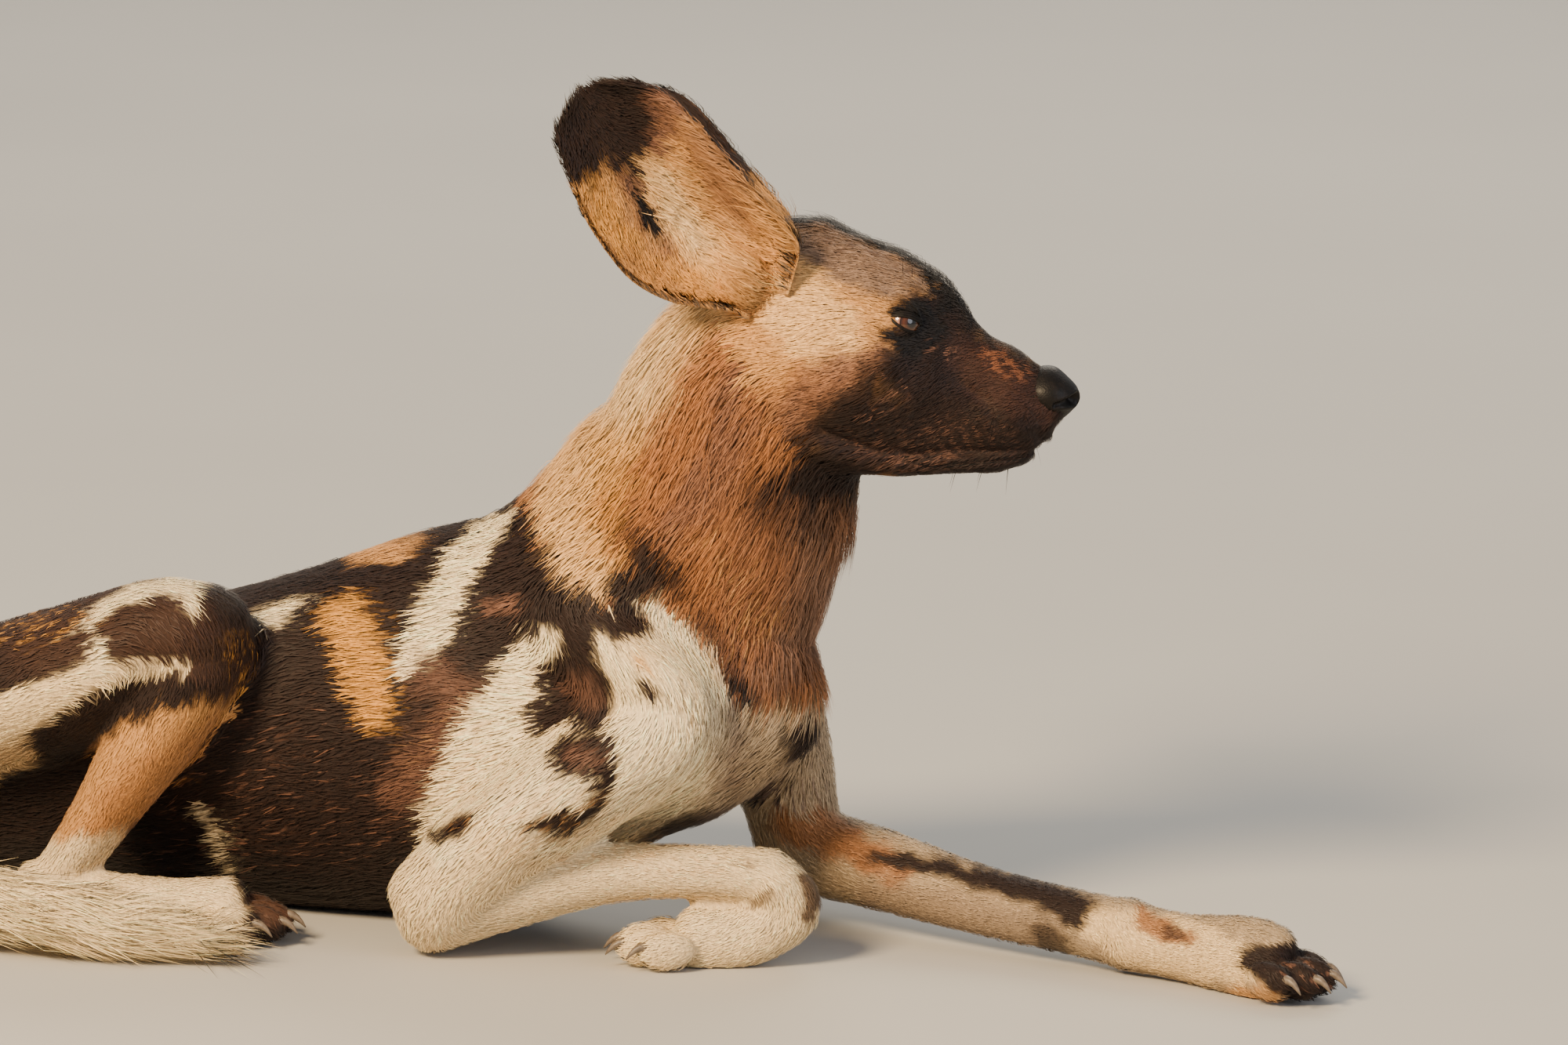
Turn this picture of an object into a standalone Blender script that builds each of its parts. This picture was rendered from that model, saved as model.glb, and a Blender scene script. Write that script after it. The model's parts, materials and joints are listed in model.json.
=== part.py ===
"""African wild dog at rest on its chest with its head up, life size.

Metres, +Z up. The dog looks along +X, and +Y is on its left. Its trunk is turned BODY_YAW to the right
of the way it looks, so that its forelegs and its right hind leg lie as they do in life. Each leg is
built in three pieces and each piece is cut by the one that it carries, so they meet like ball and cup.
"""

import math
import random

import bmesh
import bpy
import numpy as np
from mathutils import Matrix, Vector
from mathutils.bvhtree import BVHTree

# Driving sizes, in metres and degrees
BODY_YAW = 20.0
BRISKET = (0.020, -0.020)
HEAD_AT = (0.020, -0.030, 0.390)
HEAD_ROLL = -6.0
GAP = 0.0003
GROWTH = 0.0004
GROWTH_ROUNDS = 8
FLOOR_DEPTH = 0.06
FINE_VOXEL = 0.0018
BODY_VOXEL = 0.0030
LEG_VOXEL = 0.0022

# Distance behind the brisket, top, widest level, bottom, half width
TORSO = (
    (0.000, 0.176, 0.152, 0.126, 0.030),
    (0.024, 0.216, 0.156, 0.100, 0.062),
    (0.055, 0.240, 0.158, 0.082, 0.080),
    (0.100, 0.260, 0.156, 0.064, 0.091),
    (0.160, 0.266, 0.150, 0.034, 0.097),
    (0.230, 0.250, 0.135, 0.006, 0.102),
    (0.320, 0.216, 0.118, -0.004, 0.103),
    (0.410, 0.186, 0.103, -0.004, 0.097),
    (0.490, 0.164, 0.088, -0.002, 0.090),
    (0.570, 0.138, 0.078, -0.002, 0.080),
    (0.635, 0.110, 0.068, 0.002, 0.058),
    (0.665, 0.085, 0.062, 0.030, 0.026),
)

# Centre, half width, reach to the nape, reach to the throat
NECK = (
    (-0.100, 0.024, 0.195, 0.083, 0.100, 0.106),
    (-0.060, 0.008, 0.262, 0.073, 0.094, 0.101),
    (-0.036, -0.006, 0.300, 0.067, 0.084, 0.087),
    (-0.011, -0.020, 0.357, 0.063, 0.078, 0.068),
    (0.012, -0.030, 0.398, 0.058, 0.062, 0.064),
)
NECK_UP = (-1.0, 0.17, 0.45)

# In the head's own frame: forward, top, widest level, bottom, half width
SKULL = (
    (-0.055, 0.036, 0.000, -0.050, 0.044),
    (-0.030, 0.066, 0.004, -0.060, 0.056),
    (-0.002, 0.0705, 0.004, -0.066, 0.061),
    (0.016, 0.0655, 0.000, -0.070, 0.0625),
    (0.034, 0.0590, -0.006, -0.073, 0.060),
    (0.050, 0.0520, -0.012, -0.0745, 0.055),
    (0.066, 0.0440, -0.018, -0.0745, 0.047),
    (0.078, 0.0360, -0.024, -0.074, 0.040),
    (0.088, 0.0250, -0.028, -0.073, 0.0355),
    (0.096, 0.0135, -0.032, -0.072, 0.0325),
    (0.106, 0.0040, -0.036, -0.071, 0.0305),
    (0.120, -0.0025, -0.038, -0.070, 0.0285),
    (0.134, -0.0095, -0.041, -0.068, 0.0255),
    (0.143, -0.0145, -0.043, -0.061, 0.0205),
)
JAW = (
    (0.000, -0.040, -0.062, -0.080, 0.042),
    (0.045, -0.060, -0.071, -0.084, 0.030),
    (0.085, -0.062, -0.073, -0.082, 0.023),
    (0.116, -0.062, -0.072, -0.081, 0.019),
    (0.132, -0.060, -0.069, -0.0765, 0.014),
)

# Swellings and hollows of the head on both sides: forward, aside, up, how far round, how high
HEAD_FORMS = (
    (0.012, 0.056, -0.026, 0.042, 0.0050),
    (0.038, 0.058, -0.006, 0.024, 0.0055),
    (0.056, 0.032, 0.028, 0.018, 0.0045),
    (0.012, 0.044, 0.040, 0.030, -0.0030),
    (0.084, 0.030, -0.010, 0.020, -0.0040),
    (0.112, 0.028, -0.050, 0.026, 0.0035),
    (0.130, 0.022, -0.044, 0.018, 0.0030),
    (0.070, 0.040, -0.048, 0.024, -0.0020),
    (0.030, 0.000, 0.060, 0.026, -0.0020),
)

# The eye's centre, the way its lids open, and the rise of the lids from the inner corner to the outer
EYE = (0.0500, 0.0425, 0.0140)
EYE_OPENS = (0.50, 0.85, 0.10)
EYE_TILT = 24.0
EYE_RADIUS = 0.0112
LID = 0.0017
EYE_SLOT = (0.0104, 0.0054)

# Rhinarium and nostril
NOSE = (0.1440, 0.0, -0.0315)
NOSE_RADII = (0.0162, 0.0182, 0.0176)
NOSTRIL = (0.1565, 0.0100, -0.0335)

# The mouth's line on one side, in profile, from under the nose to its corner and down past the throat
MOUTH = (
    (0.1700, -0.0540),
    (0.1450, -0.0630),
    (0.1280, -0.0700),
    (0.1020, -0.0728),
    (0.0740, -0.0755),
    (0.0480, -0.0700),
    (0.0360, -0.0800),
    (0.0310, -0.1050),
)

# Each ear: root and tip of its long axis, and the way its cup opens
EARS = {
    "right": {"root": (-0.022, -0.084, 0.424), "tip": (-0.119, -0.128, 0.562), "opens": (0.10, -0.96, -0.20)},
    "left": {"root": (-0.022, 0.018, 0.415), "tip": (-0.104, 0.092, 0.520), "opens": (0.22, 0.90, -0.05)},
}
EAR_ROOT_DEPTH = 0.020
EAR_ROOT_RADII = (0.015, 0.017, 0.017)
# Share of the ear's length, half width in front, half width behind, cup depth, thickness
EAR_OUTLINE = (
    (0.00, 0.030, 0.012, 0.022, 0.0120),
    (0.08, 0.043, 0.026, 0.027, 0.0095),
    (0.18, 0.043, 0.042, 0.030, 0.0070),
    (0.32, 0.041, 0.053, 0.029, 0.0058),
    (0.48, 0.038, 0.055, 0.024, 0.0055),
    (0.64, 0.036, 0.053, 0.018, 0.0052),
    (0.80, 0.032, 0.045, 0.012, 0.0050),
    (0.92, 0.022, 0.039, 0.008, 0.0048),
    (0.985, 0.008, 0.022, 0.005, 0.0046),
)

# The tail's line with its half thickness, from the rump round to the dog's right
TAIL = (
    (-0.572, 0.186, 0.075, 0.026),
    (-0.606, 0.128, 0.044, 0.024),
    (-0.600, 0.056, 0.030, 0.023),
    (-0.576, 0.014, 0.030, 0.021),
    (-0.536, -0.034, 0.030, 0.015),
    (-0.480, -0.070, 0.029, 0.014),
    (-0.420, -0.088, 0.024, 0.012),
    (-0.372, -0.094, 0.018, 0.006),
)

# The locks of the tail's brush and of the throat's ruff. From and to: the shares of the tube's length
# where the first and last rows are rooted; round: the angles they cover; way: 1 where they point to the
# tube's end and -1 where they point to its start; sink: how deep a lock is rooted; rise: how far its
# thick part and its tip stand off the tube
LOCKS = {
    "brush": {
        "rows": 8, "across": 4, "from": 0.50, "to": 0.94, "round": (0.0, 360.0), "way": 1.0,
        "length": 0.070, "width": 0.032, "thick": 0.0060, "sink": 0.0040, "rise": (0.0115, 0.0105),
    },
    "ruff": {
        "rows": 5, "across": 5, "from": 0.80, "to": 0.28, "round": (-160.0, -20.0), "way": -1.0,
        "length": 0.070, "width": 0.044, "thick": 0.0070, "sink": 0.0050, "rise": (0.0060, 0.0065),
    },
}
LOCK_ROWS = ((0.0, 0.55, 0.9), (0.34, 1.0, 1.0), (0.66, 0.85, 0.9), (0.88, 0.42, 0.6))
LOCK_SEED = 7


def along(distance, aside=0.0, height=0.0):
    """The point that lies this far behind the brisket, this far to the dog's left, at this height."""
    yaw = math.radians(BODY_YAW)
    forward = np.array([math.cos(yaw), -math.sin(yaw)])
    left = np.array([math.sin(yaw), math.cos(yaw)])
    place = np.array(BRISKET) - distance * forward + aside * left
    return (place[0], place[1], height)


# Each leg's pieces from the trunk outwards: centre, half width across the limb, reach to each side of it
LEGS = {
    "fore_right": {
        "upper_arm": (
            (*along(0.150, -0.052, 0.215), 0.026, 0.034, 0.034),
            (-0.092, -0.058, 0.190, 0.032, 0.046, 0.046),
            (-0.062, -0.072, 0.158, 0.036, 0.044, 0.050),
            (-0.104, -0.076, 0.128, 0.036, 0.048, 0.052),
            (-0.162, -0.068, 0.086, 0.033, 0.044, 0.044),
            (-0.212, -0.058, 0.037, 0.033, 0.035, 0.037),
        ),
        "forearm": (
            (-0.216, -0.056, 0.030, 0.029, 0.032, 0.034),
            (-0.170, -0.058, 0.042, 0.025, 0.027, 0.027),
            (-0.100, -0.061, 0.056, 0.019, 0.020, 0.020),
            (-0.030, -0.063, 0.058, 0.017, 0.017, 0.016),
            (-0.004, -0.063, 0.055, 0.019, 0.019, 0.018),
        ),
        "paw": (
            (-0.002, -0.063, 0.052, 0.019, 0.021, 0.019),
            (0.008, -0.064, 0.036, 0.020, 0.018, 0.018),
            (-0.018, -0.066, 0.019, 0.020, 0.018, 0.018),
            (-0.050, -0.069, 0.016, 0.021, 0.016, 0.016),
        ),
        "toes": {"at": (-0.064, -0.070, 0.0135), "ahead": (-1.0, -0.06, -0.04), "spread": (0.06, -1.0, 0.0)},
    },
    "fore_left": {
        "upper_arm": (
            (*along(0.120, 0.052, 0.235), 0.026, 0.034, 0.034),
            (-0.040, 0.052, 0.205, 0.034, 0.046, 0.042),
            (-0.016, 0.062, 0.165, 0.037, 0.042, 0.048),
            (0.000, 0.072, 0.115, 0.034, 0.042, 0.046),
            (0.010, 0.080, 0.056, 0.029, 0.036, 0.044),
        ),
        "forearm": (
            (0.010, 0.076, 0.046, 0.029, 0.032, 0.038),
            (0.064, 0.038, 0.040, 0.026, 0.028, 0.030),
            (0.130, -0.008, 0.031, 0.022, 0.022, 0.023),
            (0.196, -0.050, 0.026, 0.021, 0.021, 0.022),
            (0.220, -0.066, 0.025, 0.023, 0.022, 0.024),
        ),
        "paw": (
            (0.216, -0.064, 0.024, 0.022, 0.021, 0.023),
            (0.252, -0.086, 0.022, 0.021, 0.018, 0.021),
            (0.290, -0.112, 0.022, 0.026, 0.018, 0.021),
            (0.306, -0.122, 0.019, 0.026, 0.016, 0.019),
        ),
        "toes": {"at": (0.312, -0.127, 0.0150), "ahead": (0.845, -0.53, -0.03), "spread": (0.53, 0.845, 0.0)},
    },
    "hind_right": {
        "thigh": (
            (-0.540, 0.118, 0.099, 0.042, 0.056, 0.060),
            (-0.486, 0.076, 0.129, 0.048, 0.072, 0.086),
            (-0.432, 0.034, 0.158, 0.045, 0.070, 0.082),
            (-0.388, 0.004, 0.184, 0.039, 0.060, 0.060),
            (-0.364, -0.010, 0.191, 0.034, 0.048, 0.056),
        ),
        "shank": (
            (-0.364, -0.010, 0.172, 0.030, 0.042, 0.042),
            (-0.392, -0.008, 0.122, 0.028, 0.038, 0.038),
            (-0.420, -0.004, 0.076, 0.021, 0.027, 0.028),
            (-0.444, 0.000, 0.040, 0.017, 0.021, 0.022),
            (-0.456, 0.001, 0.026, 0.017, 0.020, 0.023),
        ),
        "foot": (
            (-0.462, 0.001, 0.026, 0.017, 0.021, 0.025),
            (-0.430, -0.006, 0.022, 0.017, 0.019, 0.022),
            (-0.380, -0.018, 0.019, 0.018, 0.017, 0.020),
            (-0.342, -0.027, 0.019, 0.022, 0.017, 0.020),
        ),
        "toes": {"at": (-0.336, -0.029, 0.0145), "ahead": (0.97, -0.22, -0.03), "spread": (0.22, 0.97, 0.0)},
    },
    "hind_left": {
        "thigh": (
            (-0.520, 0.205, 0.060, 0.038, 0.050, 0.050),
            (-0.452, 0.220, 0.068, 0.046, 0.064, 0.064),
            (-0.372, 0.248, 0.072, 0.042, 0.060, 0.060),
            (-0.300, 0.268, 0.068, 0.036, 0.048, 0.048),
            (-0.272, 0.274, 0.062, 0.032, 0.040, 0.040),
        ),
        "shank": (
            (-0.276, 0.276, 0.056, 0.032, 0.038, 0.038),
            (-0.340, 0.288, 0.044, 0.030, 0.034, 0.034),
            (-0.410, 0.300, 0.032, 0.022, 0.024, 0.026),
            (-0.462, 0.308, 0.024, 0.018, 0.020, 0.025),
        ),
        "foot": (
            (-0.474, 0.311, 0.024, 0.018, 0.021, 0.025),
            (-0.430, 0.326, 0.021, 0.017, 0.018, 0.021),
            (-0.372, 0.338, 0.019, 0.018, 0.017, 0.020),
            (-0.334, 0.344, 0.019, 0.022, 0.017, 0.020),
        ),
        "toes": {"at": (-0.328, 0.345, 0.0145), "ahead": (0.985, 0.12, -0.03), "spread": (-0.12, 0.985, 0.0)},
    },
}
LEG_UP = (0.0, -1.0, 0.25)
LEG_TRIANGLES = {"upper_arm": 280, "thigh": 300, "forearm": 200, "shank": 200, "paw": 430, "foot": 430}

# Four toes to a foot: how far forward and how far aside, then the toe's and the claw's own sizes
TOE_SPOTS = ((0.004, -0.0215), (0.016, -0.0080), (0.016, 0.0080), (0.004, 0.0215))
TOE_RADII = (0.0185, 0.0088, 0.0128)
CLAW_LENGTH = 0.0150
CLAW_ROOT = 0.0032
CLAW_TIP = 0.0008

# Plain cuts between the parts of the body: where, which way the far part lies, and the plate's size
CUTS = {
    "head": ((-0.0025, -0.030, 0.365), (0.81, -0.10, 0.59), 0.260),
    "neck": ((-0.088, 0.016, 0.232), (0.50, -0.18, 0.84), 0.370),
    "chest": (along(0.235, 0.0, 0.130), (0.94, -0.342, 0.0), 0.330),
    "belly": (along(0.460, 0.0, 0.100), (0.94, -0.342, 0.0), 0.330),
    "tail_base": ((-0.606, 0.106, 0.038), (0.05, -0.98, -0.20), 0.075),
    "tail_brush": ((-0.568, 0.004, 0.027), (0.55, -0.83, 0.0), 0.090),
}

# Colours of the coat and skin, and how rough each is
FINISHES = {
    "coat_dark": ((0.035, 0.024, 0.019), 0.85),
    "coat_tan": ((0.33, 0.20, 0.11), 0.85),
    "coat_white": ((0.62, 0.56, 0.48), 0.85),
    "nose_skin": ((0.012, 0.011, 0.012), 0.38),
    "eye": ((0.030, 0.013, 0.007), 0.08),
}
WEARS = {
    "head": "coat_tan",
    "lower_jaw": "coat_dark",
    "nose": "nose_skin",
    "eye_right": "eye",
    "eye_left": "eye",
    "ear_right": "coat_dark",
    "ear_left": "coat_dark",
    "neck": "coat_tan",
    "chest": "coat_dark",
    "belly": "coat_dark",
    "rump": "coat_dark",
    "tail_base": "coat_tan",
    "tail_brush": "coat_white",
}


def unit(vectors):
    """Vectors scaled to length one, along the last axis."""
    vectors = np.asarray(vectors, float)
    return vectors / np.maximum(np.linalg.norm(vectors, axis=-1, keepdims=True), 1e-12)


def head_matrix():
    """The head's own frame: +X to the nose, +Y to its left ear, +Z to its crown."""
    return Matrix.Translation(HEAD_AT) @ Matrix.Rotation(math.radians(HEAD_ROLL), 4, "X")


def smooth_rows(rows, steps):
    """Rows of numbers read from a smooth curve that passes through each given row."""
    rows = np.array(rows, float)
    padded = np.vstack([2 * rows[0] - rows[1], rows, 2 * rows[-1] - rows[-2]])
    made = []
    for before, start, end, after in zip(padded, padded[1:], padded[2:], padded[3:]):
        for t in np.linspace(0.0, 1.0, steps, endpoint=False):
            slope = end - before
            bend = 2 * before - 5 * start + 4 * end - after
            twist = 3 * start - before - 3 * end + after
            made.append(0.5 * (2 * start + slope * t + bend * t**2 + twist * t**3))
    made.append(rows[-1])
    return np.array(made)


def with_round_ends(rows, blunt):
    """The rows with a few shrinking ones past each end, so that a loft closes round."""
    ends = []
    for row, inner in ((rows[0], rows[1]), (rows[-1], rows[-2])):
        away = unit(row[:3] - inner[:3])
        reach = row[3:].mean() * blunt
        past = []
        for angle in (30, 55, 75, 87):
            turn = math.radians(angle)
            centre = row[:3] + away * reach * math.sin(turn)
            past.append(np.concatenate([centre, row[3:] * math.cos(turn)]))
        ends.append(past)
    return np.array(ends[0][::-1] + list(rows) + ends[1])


def loft(bm, rings, up, sides=28, steps=4, blunt=0.8, ahead=None):
    """Adds a closed tube through rings of (centre, half width, reach up, reach down).

    The rings stand square to the tube's line, or to the way ahead if one is given.
    """
    rows = with_round_ends(smooth_rows(rings, steps), blunt)
    centres, wide, high, low = rows[:, :3], rows[:, 3], rows[:, 4], rows[:, 5]
    line = np.gradient(centres, axis=0)
    ahead = unit(line if ahead is None else np.broadcast_to(ahead, line.shape))
    aside = unit(np.cross(np.array(up, float), ahead))
    above = np.cross(ahead, aside)
    angles = np.linspace(0.0, 2 * math.pi, sides, endpoint=False)
    loops = []
    for i, centre in enumerate(centres):
        across = np.outer(np.cos(angles) * wide[i], aside[i])
        reach = np.where(np.sin(angles) > 0, high[i], low[i])
        upward = np.outer(np.sin(angles) * reach, above[i])
        loops.append([bm.verts.new(p) for p in centre + across + upward])
    for first, second in zip(loops, loops[1:]):
        for k in range(sides):
            n = (k + 1) % sides
            bm.faces.new((first[k], first[n], second[n], second[k]))
    bm.faces.new(loops[0][::-1])
    bm.faces.new(loops[-1])


def blob(bm, centre, radii, turn=None, detail=3):
    """Adds an ellipsoid, turned by a rotation matrix if one is given."""
    matrix = Matrix.Translation(centre) @ (turn or Matrix()) @ Matrix.Diagonal((*radii, 1.0))
    bmesh.ops.create_icosphere(bm, subdivisions=detail, radius=1.0, matrix=matrix)


def new_object(name, bm):
    """An object in the scene from a bmesh, with its faces turned outwards."""
    bmesh.ops.recalc_face_normals(bm, faces=bm.faces)
    mesh = bpy.data.meshes.new(name)
    bm.to_mesh(mesh)
    bm.free()
    made = bpy.data.objects.new(name, mesh)
    bpy.context.scene.collection.objects.link(made)
    return made


def copy_object(obj, name):
    """A copy of the object with a mesh of its own."""
    made = obj.copy()
    made.data = obj.data.copy()
    made.name = name
    bpy.context.scene.collection.objects.link(made)
    return made


def settle(obj):
    """Applies the object's modifiers to its mesh."""
    graph = bpy.context.evaluated_depsgraph_get()
    mesh = bpy.data.meshes.new_from_object(obj.evaluated_get(graph))
    obj.modifiers.clear()
    old = obj.data
    obj.data = mesh
    bpy.data.meshes.remove(old)
    return obj


def fuse(name, bm, voxel, smoothing):
    """Turns overlapping closed shapes into one smooth surface."""
    made = new_object(name, bm)
    skin = made.modifiers.new("fuse", "REMESH")
    skin.mode = "VOXEL"
    skin.voxel_size = voxel
    soften = made.modifiers.new("soften", "SMOOTH")
    soften.factor = 0.5
    soften.iterations = smoothing
    return settle(made)


def swell(obj, forms, frame):
    """Raises or sinks the surface round each spot, on both sides of the frame's middle plane."""
    bm = bmesh.new()
    bm.from_mesh(obj.data)
    bm.normal_update()
    points = np.array([v.co for v in bm.verts])
    normals = np.array([v.normal for v in bm.verts])
    for forward, aside, up, radius, height in forms:
        for side in (-1, 1) if aside else (1,):
            spot = np.array(frame @ Vector((forward, side * aside, up)))
            share = np.linalg.norm(points - spot, axis=1) / radius
            rise = height * np.clip(1 - share**2, 0, None) ** 2
            points = points + normals * rise[:, None]
    for vertex, point in zip(bm.verts, points):
        vertex.co = point
    bm.to_mesh(obj.data)
    bm.free()
    return obj


def thin_out(obj, triangles):
    """Collapses the flattest edges until about this many triangles are left."""
    faces = sum(len(face.vertices) - 2 for face in obj.data.polygons)
    fewer = obj.modifiers.new("fewer", "DECIMATE")
    fewer.ratio = min(1.0, triangles / faces)
    fewer.use_collapse_triangulate = True
    return settle(obj)


def bulk(mesh):
    """The mesh's volume, or None where its surface isn't closed."""
    bm = bmesh.new()
    bm.from_mesh(mesh)
    closed = len(bm.faces) > 0 and all(edge.is_manifold for edge in bm.edges)
    volume = bm.calc_volume() if closed else None
    bm.free()
    return volume


def boolean(obj, other, operation):
    """Joins or cuts obj with another closed mesh object, which is then removed.

    EXACT comes first, and MANIFOLD where that leaves an open surface or loses more than it should.
    """
    before = obj.data.copy()
    whole, tool = bulk(before), bulk(other.data)
    least = whole * 0.999 if operation == "UNION" else (whole - tool) * 0.999
    for solver in ("EXACT", "MANIFOLD"):
        step = obj.modifiers.new("boolean", "BOOLEAN")
        step.operation = operation
        step.solver = solver
        step.use_self = solver == "EXACT"
        step.object = other
        settle(obj)
        after = bulk(obj.data)
        if after is not None and after >= least:
            break
        obj.data = before.copy()
    else:
        raise ValueError(f"{operation} fails on {obj.name}")
    bpy.data.meshes.remove(before)
    bpy.data.objects.remove(other)
    return obj


def facing(direction):
    """A rotation that turns +Z to this direction."""
    return Vector(direction).to_track_quat("Z", "Y").to_matrix().to_4x4()


def box(centre, size, turn=None):
    """A box object."""
    bm = bmesh.new()
    matrix = Matrix.Translation(centre) @ (turn or Matrix()) @ Matrix.Diagonal((*size, 1.0))
    bmesh.ops.create_cube(bm, size=1.0, matrix=matrix)
    return new_object("box", bm)


def islands(obj):
    """The object's separate surfaces, as lists of face indices."""
    bm = bmesh.new()
    bm.from_mesh(obj.data)
    unseen = set(bm.faces)
    found = []
    while unseen:
        front = [unseen.pop()]
        group = list(front)
        while front:
            for edge in front.pop().edges:
                for other in edge.link_faces:
                    if other in unseen:
                        unseen.remove(other)
                        front.append(other)
                        group.append(other)
        found.append([face.index for face in group])
    bm.free()
    return sorted(found, key=len)


def keep_only(obj, indices):
    """Deletes all the object's faces but these."""
    keep = set(indices)
    bm = bmesh.new()
    bm.from_mesh(obj.data)
    drop = [face for face in bm.faces if face.index not in keep]
    bmesh.ops.delete(bm, geom=drop, context="FACES")
    bm.to_mesh(obj.data)
    bm.free()


def keep_largest(obj):
    """Keeps only the object's largest surface."""
    found = islands(obj)
    if len(found) > 1:
        keep_only(obj, found[-1])
    return obj


def part_off(obj, name):
    """Cuts the object with its named thin plate and makes what touches the plate's far face an object."""
    at, direction, size = CUTS[name]
    direction = Vector(direction).normalized()
    boolean(obj, box(at, (size, size, GAP), facing(direction)), "DIFFERENCE")
    points = np.array([face.center for face in obj.data.polygons])
    height = (points - np.array(at)) @ np.array(direction) - GAP / 2
    near = np.linalg.norm(points - np.array(at), axis=1) < size * 0.75
    touching = set(np.nonzero((abs(height) < GAP / 4) & near)[0])
    past = [group for group in islands(obj) if touching & set(group)]
    if not past or len(past[-1]) == len(points):
        raise ValueError(f"the plate for {name} doesn't cut right through")
    made = copy_object(obj, name)
    keep_only(made, past[-1])
    keep_only(obj, set(range(len(points))) - set(past[-1]))
    return made


def grown(obj):
    """A copy of the object whose surface stands about GROWTH outside it everywhere."""
    made = copy_object(obj, "grown")
    bm = bmesh.new()
    bm.from_mesh(made.data)
    bm.normal_update()
    samples = [(v.co.copy(), v.normal.copy()) for v in bm.verts]
    samples += [(f.calc_center_median(), f.normal.copy()) for f in bm.faces]
    for edge in bm.edges:
        middle = (edge.verts[0].co + edge.verts[1].co) / 2
        samples += [(middle, face.normal.copy()) for face in edge.link_faces]
    moves = [(v, v.normal * GROWTH * v.calc_shell_factor()) for v in bm.verts]
    for vertex, move in moves:
        vertex.co += move
    bm.faces.ensure_lookup_table()
    for _ in range(GROWTH_ROUNDS):
        tree = BVHTree.FromBMesh(bm)
        pushes = {}
        for place, outward in samples:
            _hit, normal, index, distance = tree.ray_cast(place, outward)
            lack = GAP - distance if index is not None and normal.dot(outward) > 0 else None
            if lack is None:
                _near, normal, index, distance = tree.find_nearest(place)
                lack = GAP + distance
            if lack > 0:
                for vertex in bm.faces[index].verts:
                    if lack > pushes.get(vertex, Vector()).length:
                        pushes[vertex] = outward * lack
        for vertex, push in pushes.items():
            vertex.co += push
        if not pushes:
            break
    bm.to_mesh(made.data)
    bm.free()
    return made


def reach(obj, margin=0.0):
    """The object's lowest and highest corners."""
    points = np.array([v.co for v in obj.data.vertices])
    return points.min(axis=0) - margin, points.max(axis=0) + margin


def carve(obj, others):
    """Cuts the object clear of the others that it may meet."""
    for other in others:
        low, high = reach(obj)
        other_low, other_high = reach(other, 2 * GROWTH)
        if (low < other_high).all() and (other_low < high).all():
            boolean(obj, grown(other), "DIFFERENCE")
    return keep_largest(obj)


def trim_floor(obj):
    """Cuts off what lies below the floor, which leaves a small flat."""
    low, high = reach(obj)
    if low[2] < 0:
        size = (*(high - low + 0.1)[:2], FLOOR_DEPTH)
        centre = (*((high + low) / 2)[:2], -FLOOR_DEPTH / 2)
        boolean(obj, box(centre, size), "DIFFERENCE")
    return keep_largest(obj)


def torso_shape(bm):
    """The trunk, from the brisket to the root of the tail."""
    rings = []
    for distance, top, level, bottom, wide in TORSO:
        rings.append((*along(distance, 0.0, level), wide, top - level, level - bottom))
    loft(bm, rings, up=(0, 0, 1), sides=40, steps=5, blunt=0.5)


def neck_shape(bm):
    """The neck, with its long coat, from between the shoulders to the back of the skull."""
    loft(bm, NECK, up=NECK_UP, sides=36, steps=5, blunt=0.4)


def head_shape(bm):
    """Skull, muzzle and lower jaw."""
    shape = bmesh.new()
    for table, sides, blunt in ((SKULL, 36, 0.5), (JAW, 28, 0.6)):
        rings = [(f, 0.0, level, wide, top - level, level - bottom) for f, top, level, bottom, wide in table]
        loft(shape, rings, up=(0, 0, 1), sides=sides, steps=4, blunt=blunt, ahead=(1, 0, 0))
    shape.transform(head_matrix())
    mesh = bpy.data.meshes.new("passing")
    shape.to_mesh(mesh)
    shape.free()
    bm.from_mesh(mesh)
    bpy.data.meshes.remove(mesh)


def ear_shape(bm, ear):
    """One ear: a deep oval cup of even thickness."""
    root, tip = np.array(ear["root"]), np.array(ear["tip"])
    ahead = unit(tip - root)
    opens = np.array(ear["opens"], float)
    opens = unit(opens - ahead * (opens @ ahead))
    blob(bm, root - opens * EAR_ROOT_DEPTH, EAR_ROOT_RADII, facing(ahead))
    front = np.cross(ahead, opens)
    if front[0] < 0:
        front = -front
    length = np.linalg.norm(tip - root)
    across = np.linspace(-1.0, 1.0, 17)
    outer, inner = [], []
    for share, wide_front, wide_back, depth, thick in smooth_rows(EAR_OUTLINE, 4):
        row_out, row_in = [], []
        for a in across:
            sideways = a * (wide_front if a > 0 else wide_back)
            sink = depth * (1 - abs(a) ** 2.2)
            point = root + ahead * length * share + front * sideways - opens * sink
            edge = thick * (1 - 0.45 * abs(a) ** 4)
            row_in.append(bm.verts.new(point + opens * edge / 2))
            row_out.append(bm.verts.new(point - opens * edge / 2))
        outer.append(row_out)
        inner.append(row_in)
    last = len(across) - 1
    for i in range(len(outer) - 1):
        for k in range(last):
            bm.faces.new((outer[i][k], outer[i + 1][k], outer[i + 1][k + 1], outer[i][k + 1]))
            bm.faces.new((inner[i][k], inner[i][k + 1], inner[i + 1][k + 1], inner[i + 1][k]))
        bm.faces.new((outer[i][0], inner[i][0], inner[i + 1][0], outer[i + 1][0]))
        bm.faces.new((outer[i][last], outer[i + 1][last], inner[i + 1][last], inner[i][last]))
    for row in (0, len(outer) - 1):
        for k in range(last):
            bm.faces.new((outer[row][k], inner[row][k], inner[row][k + 1], outer[row][k + 1]))


def tail_rings():
    """The tail's rings: the skin and hair of its base, and the core of its brush."""
    return [(x, y, z, r, r, r) for x, y, z, r in TAIL]


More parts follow.
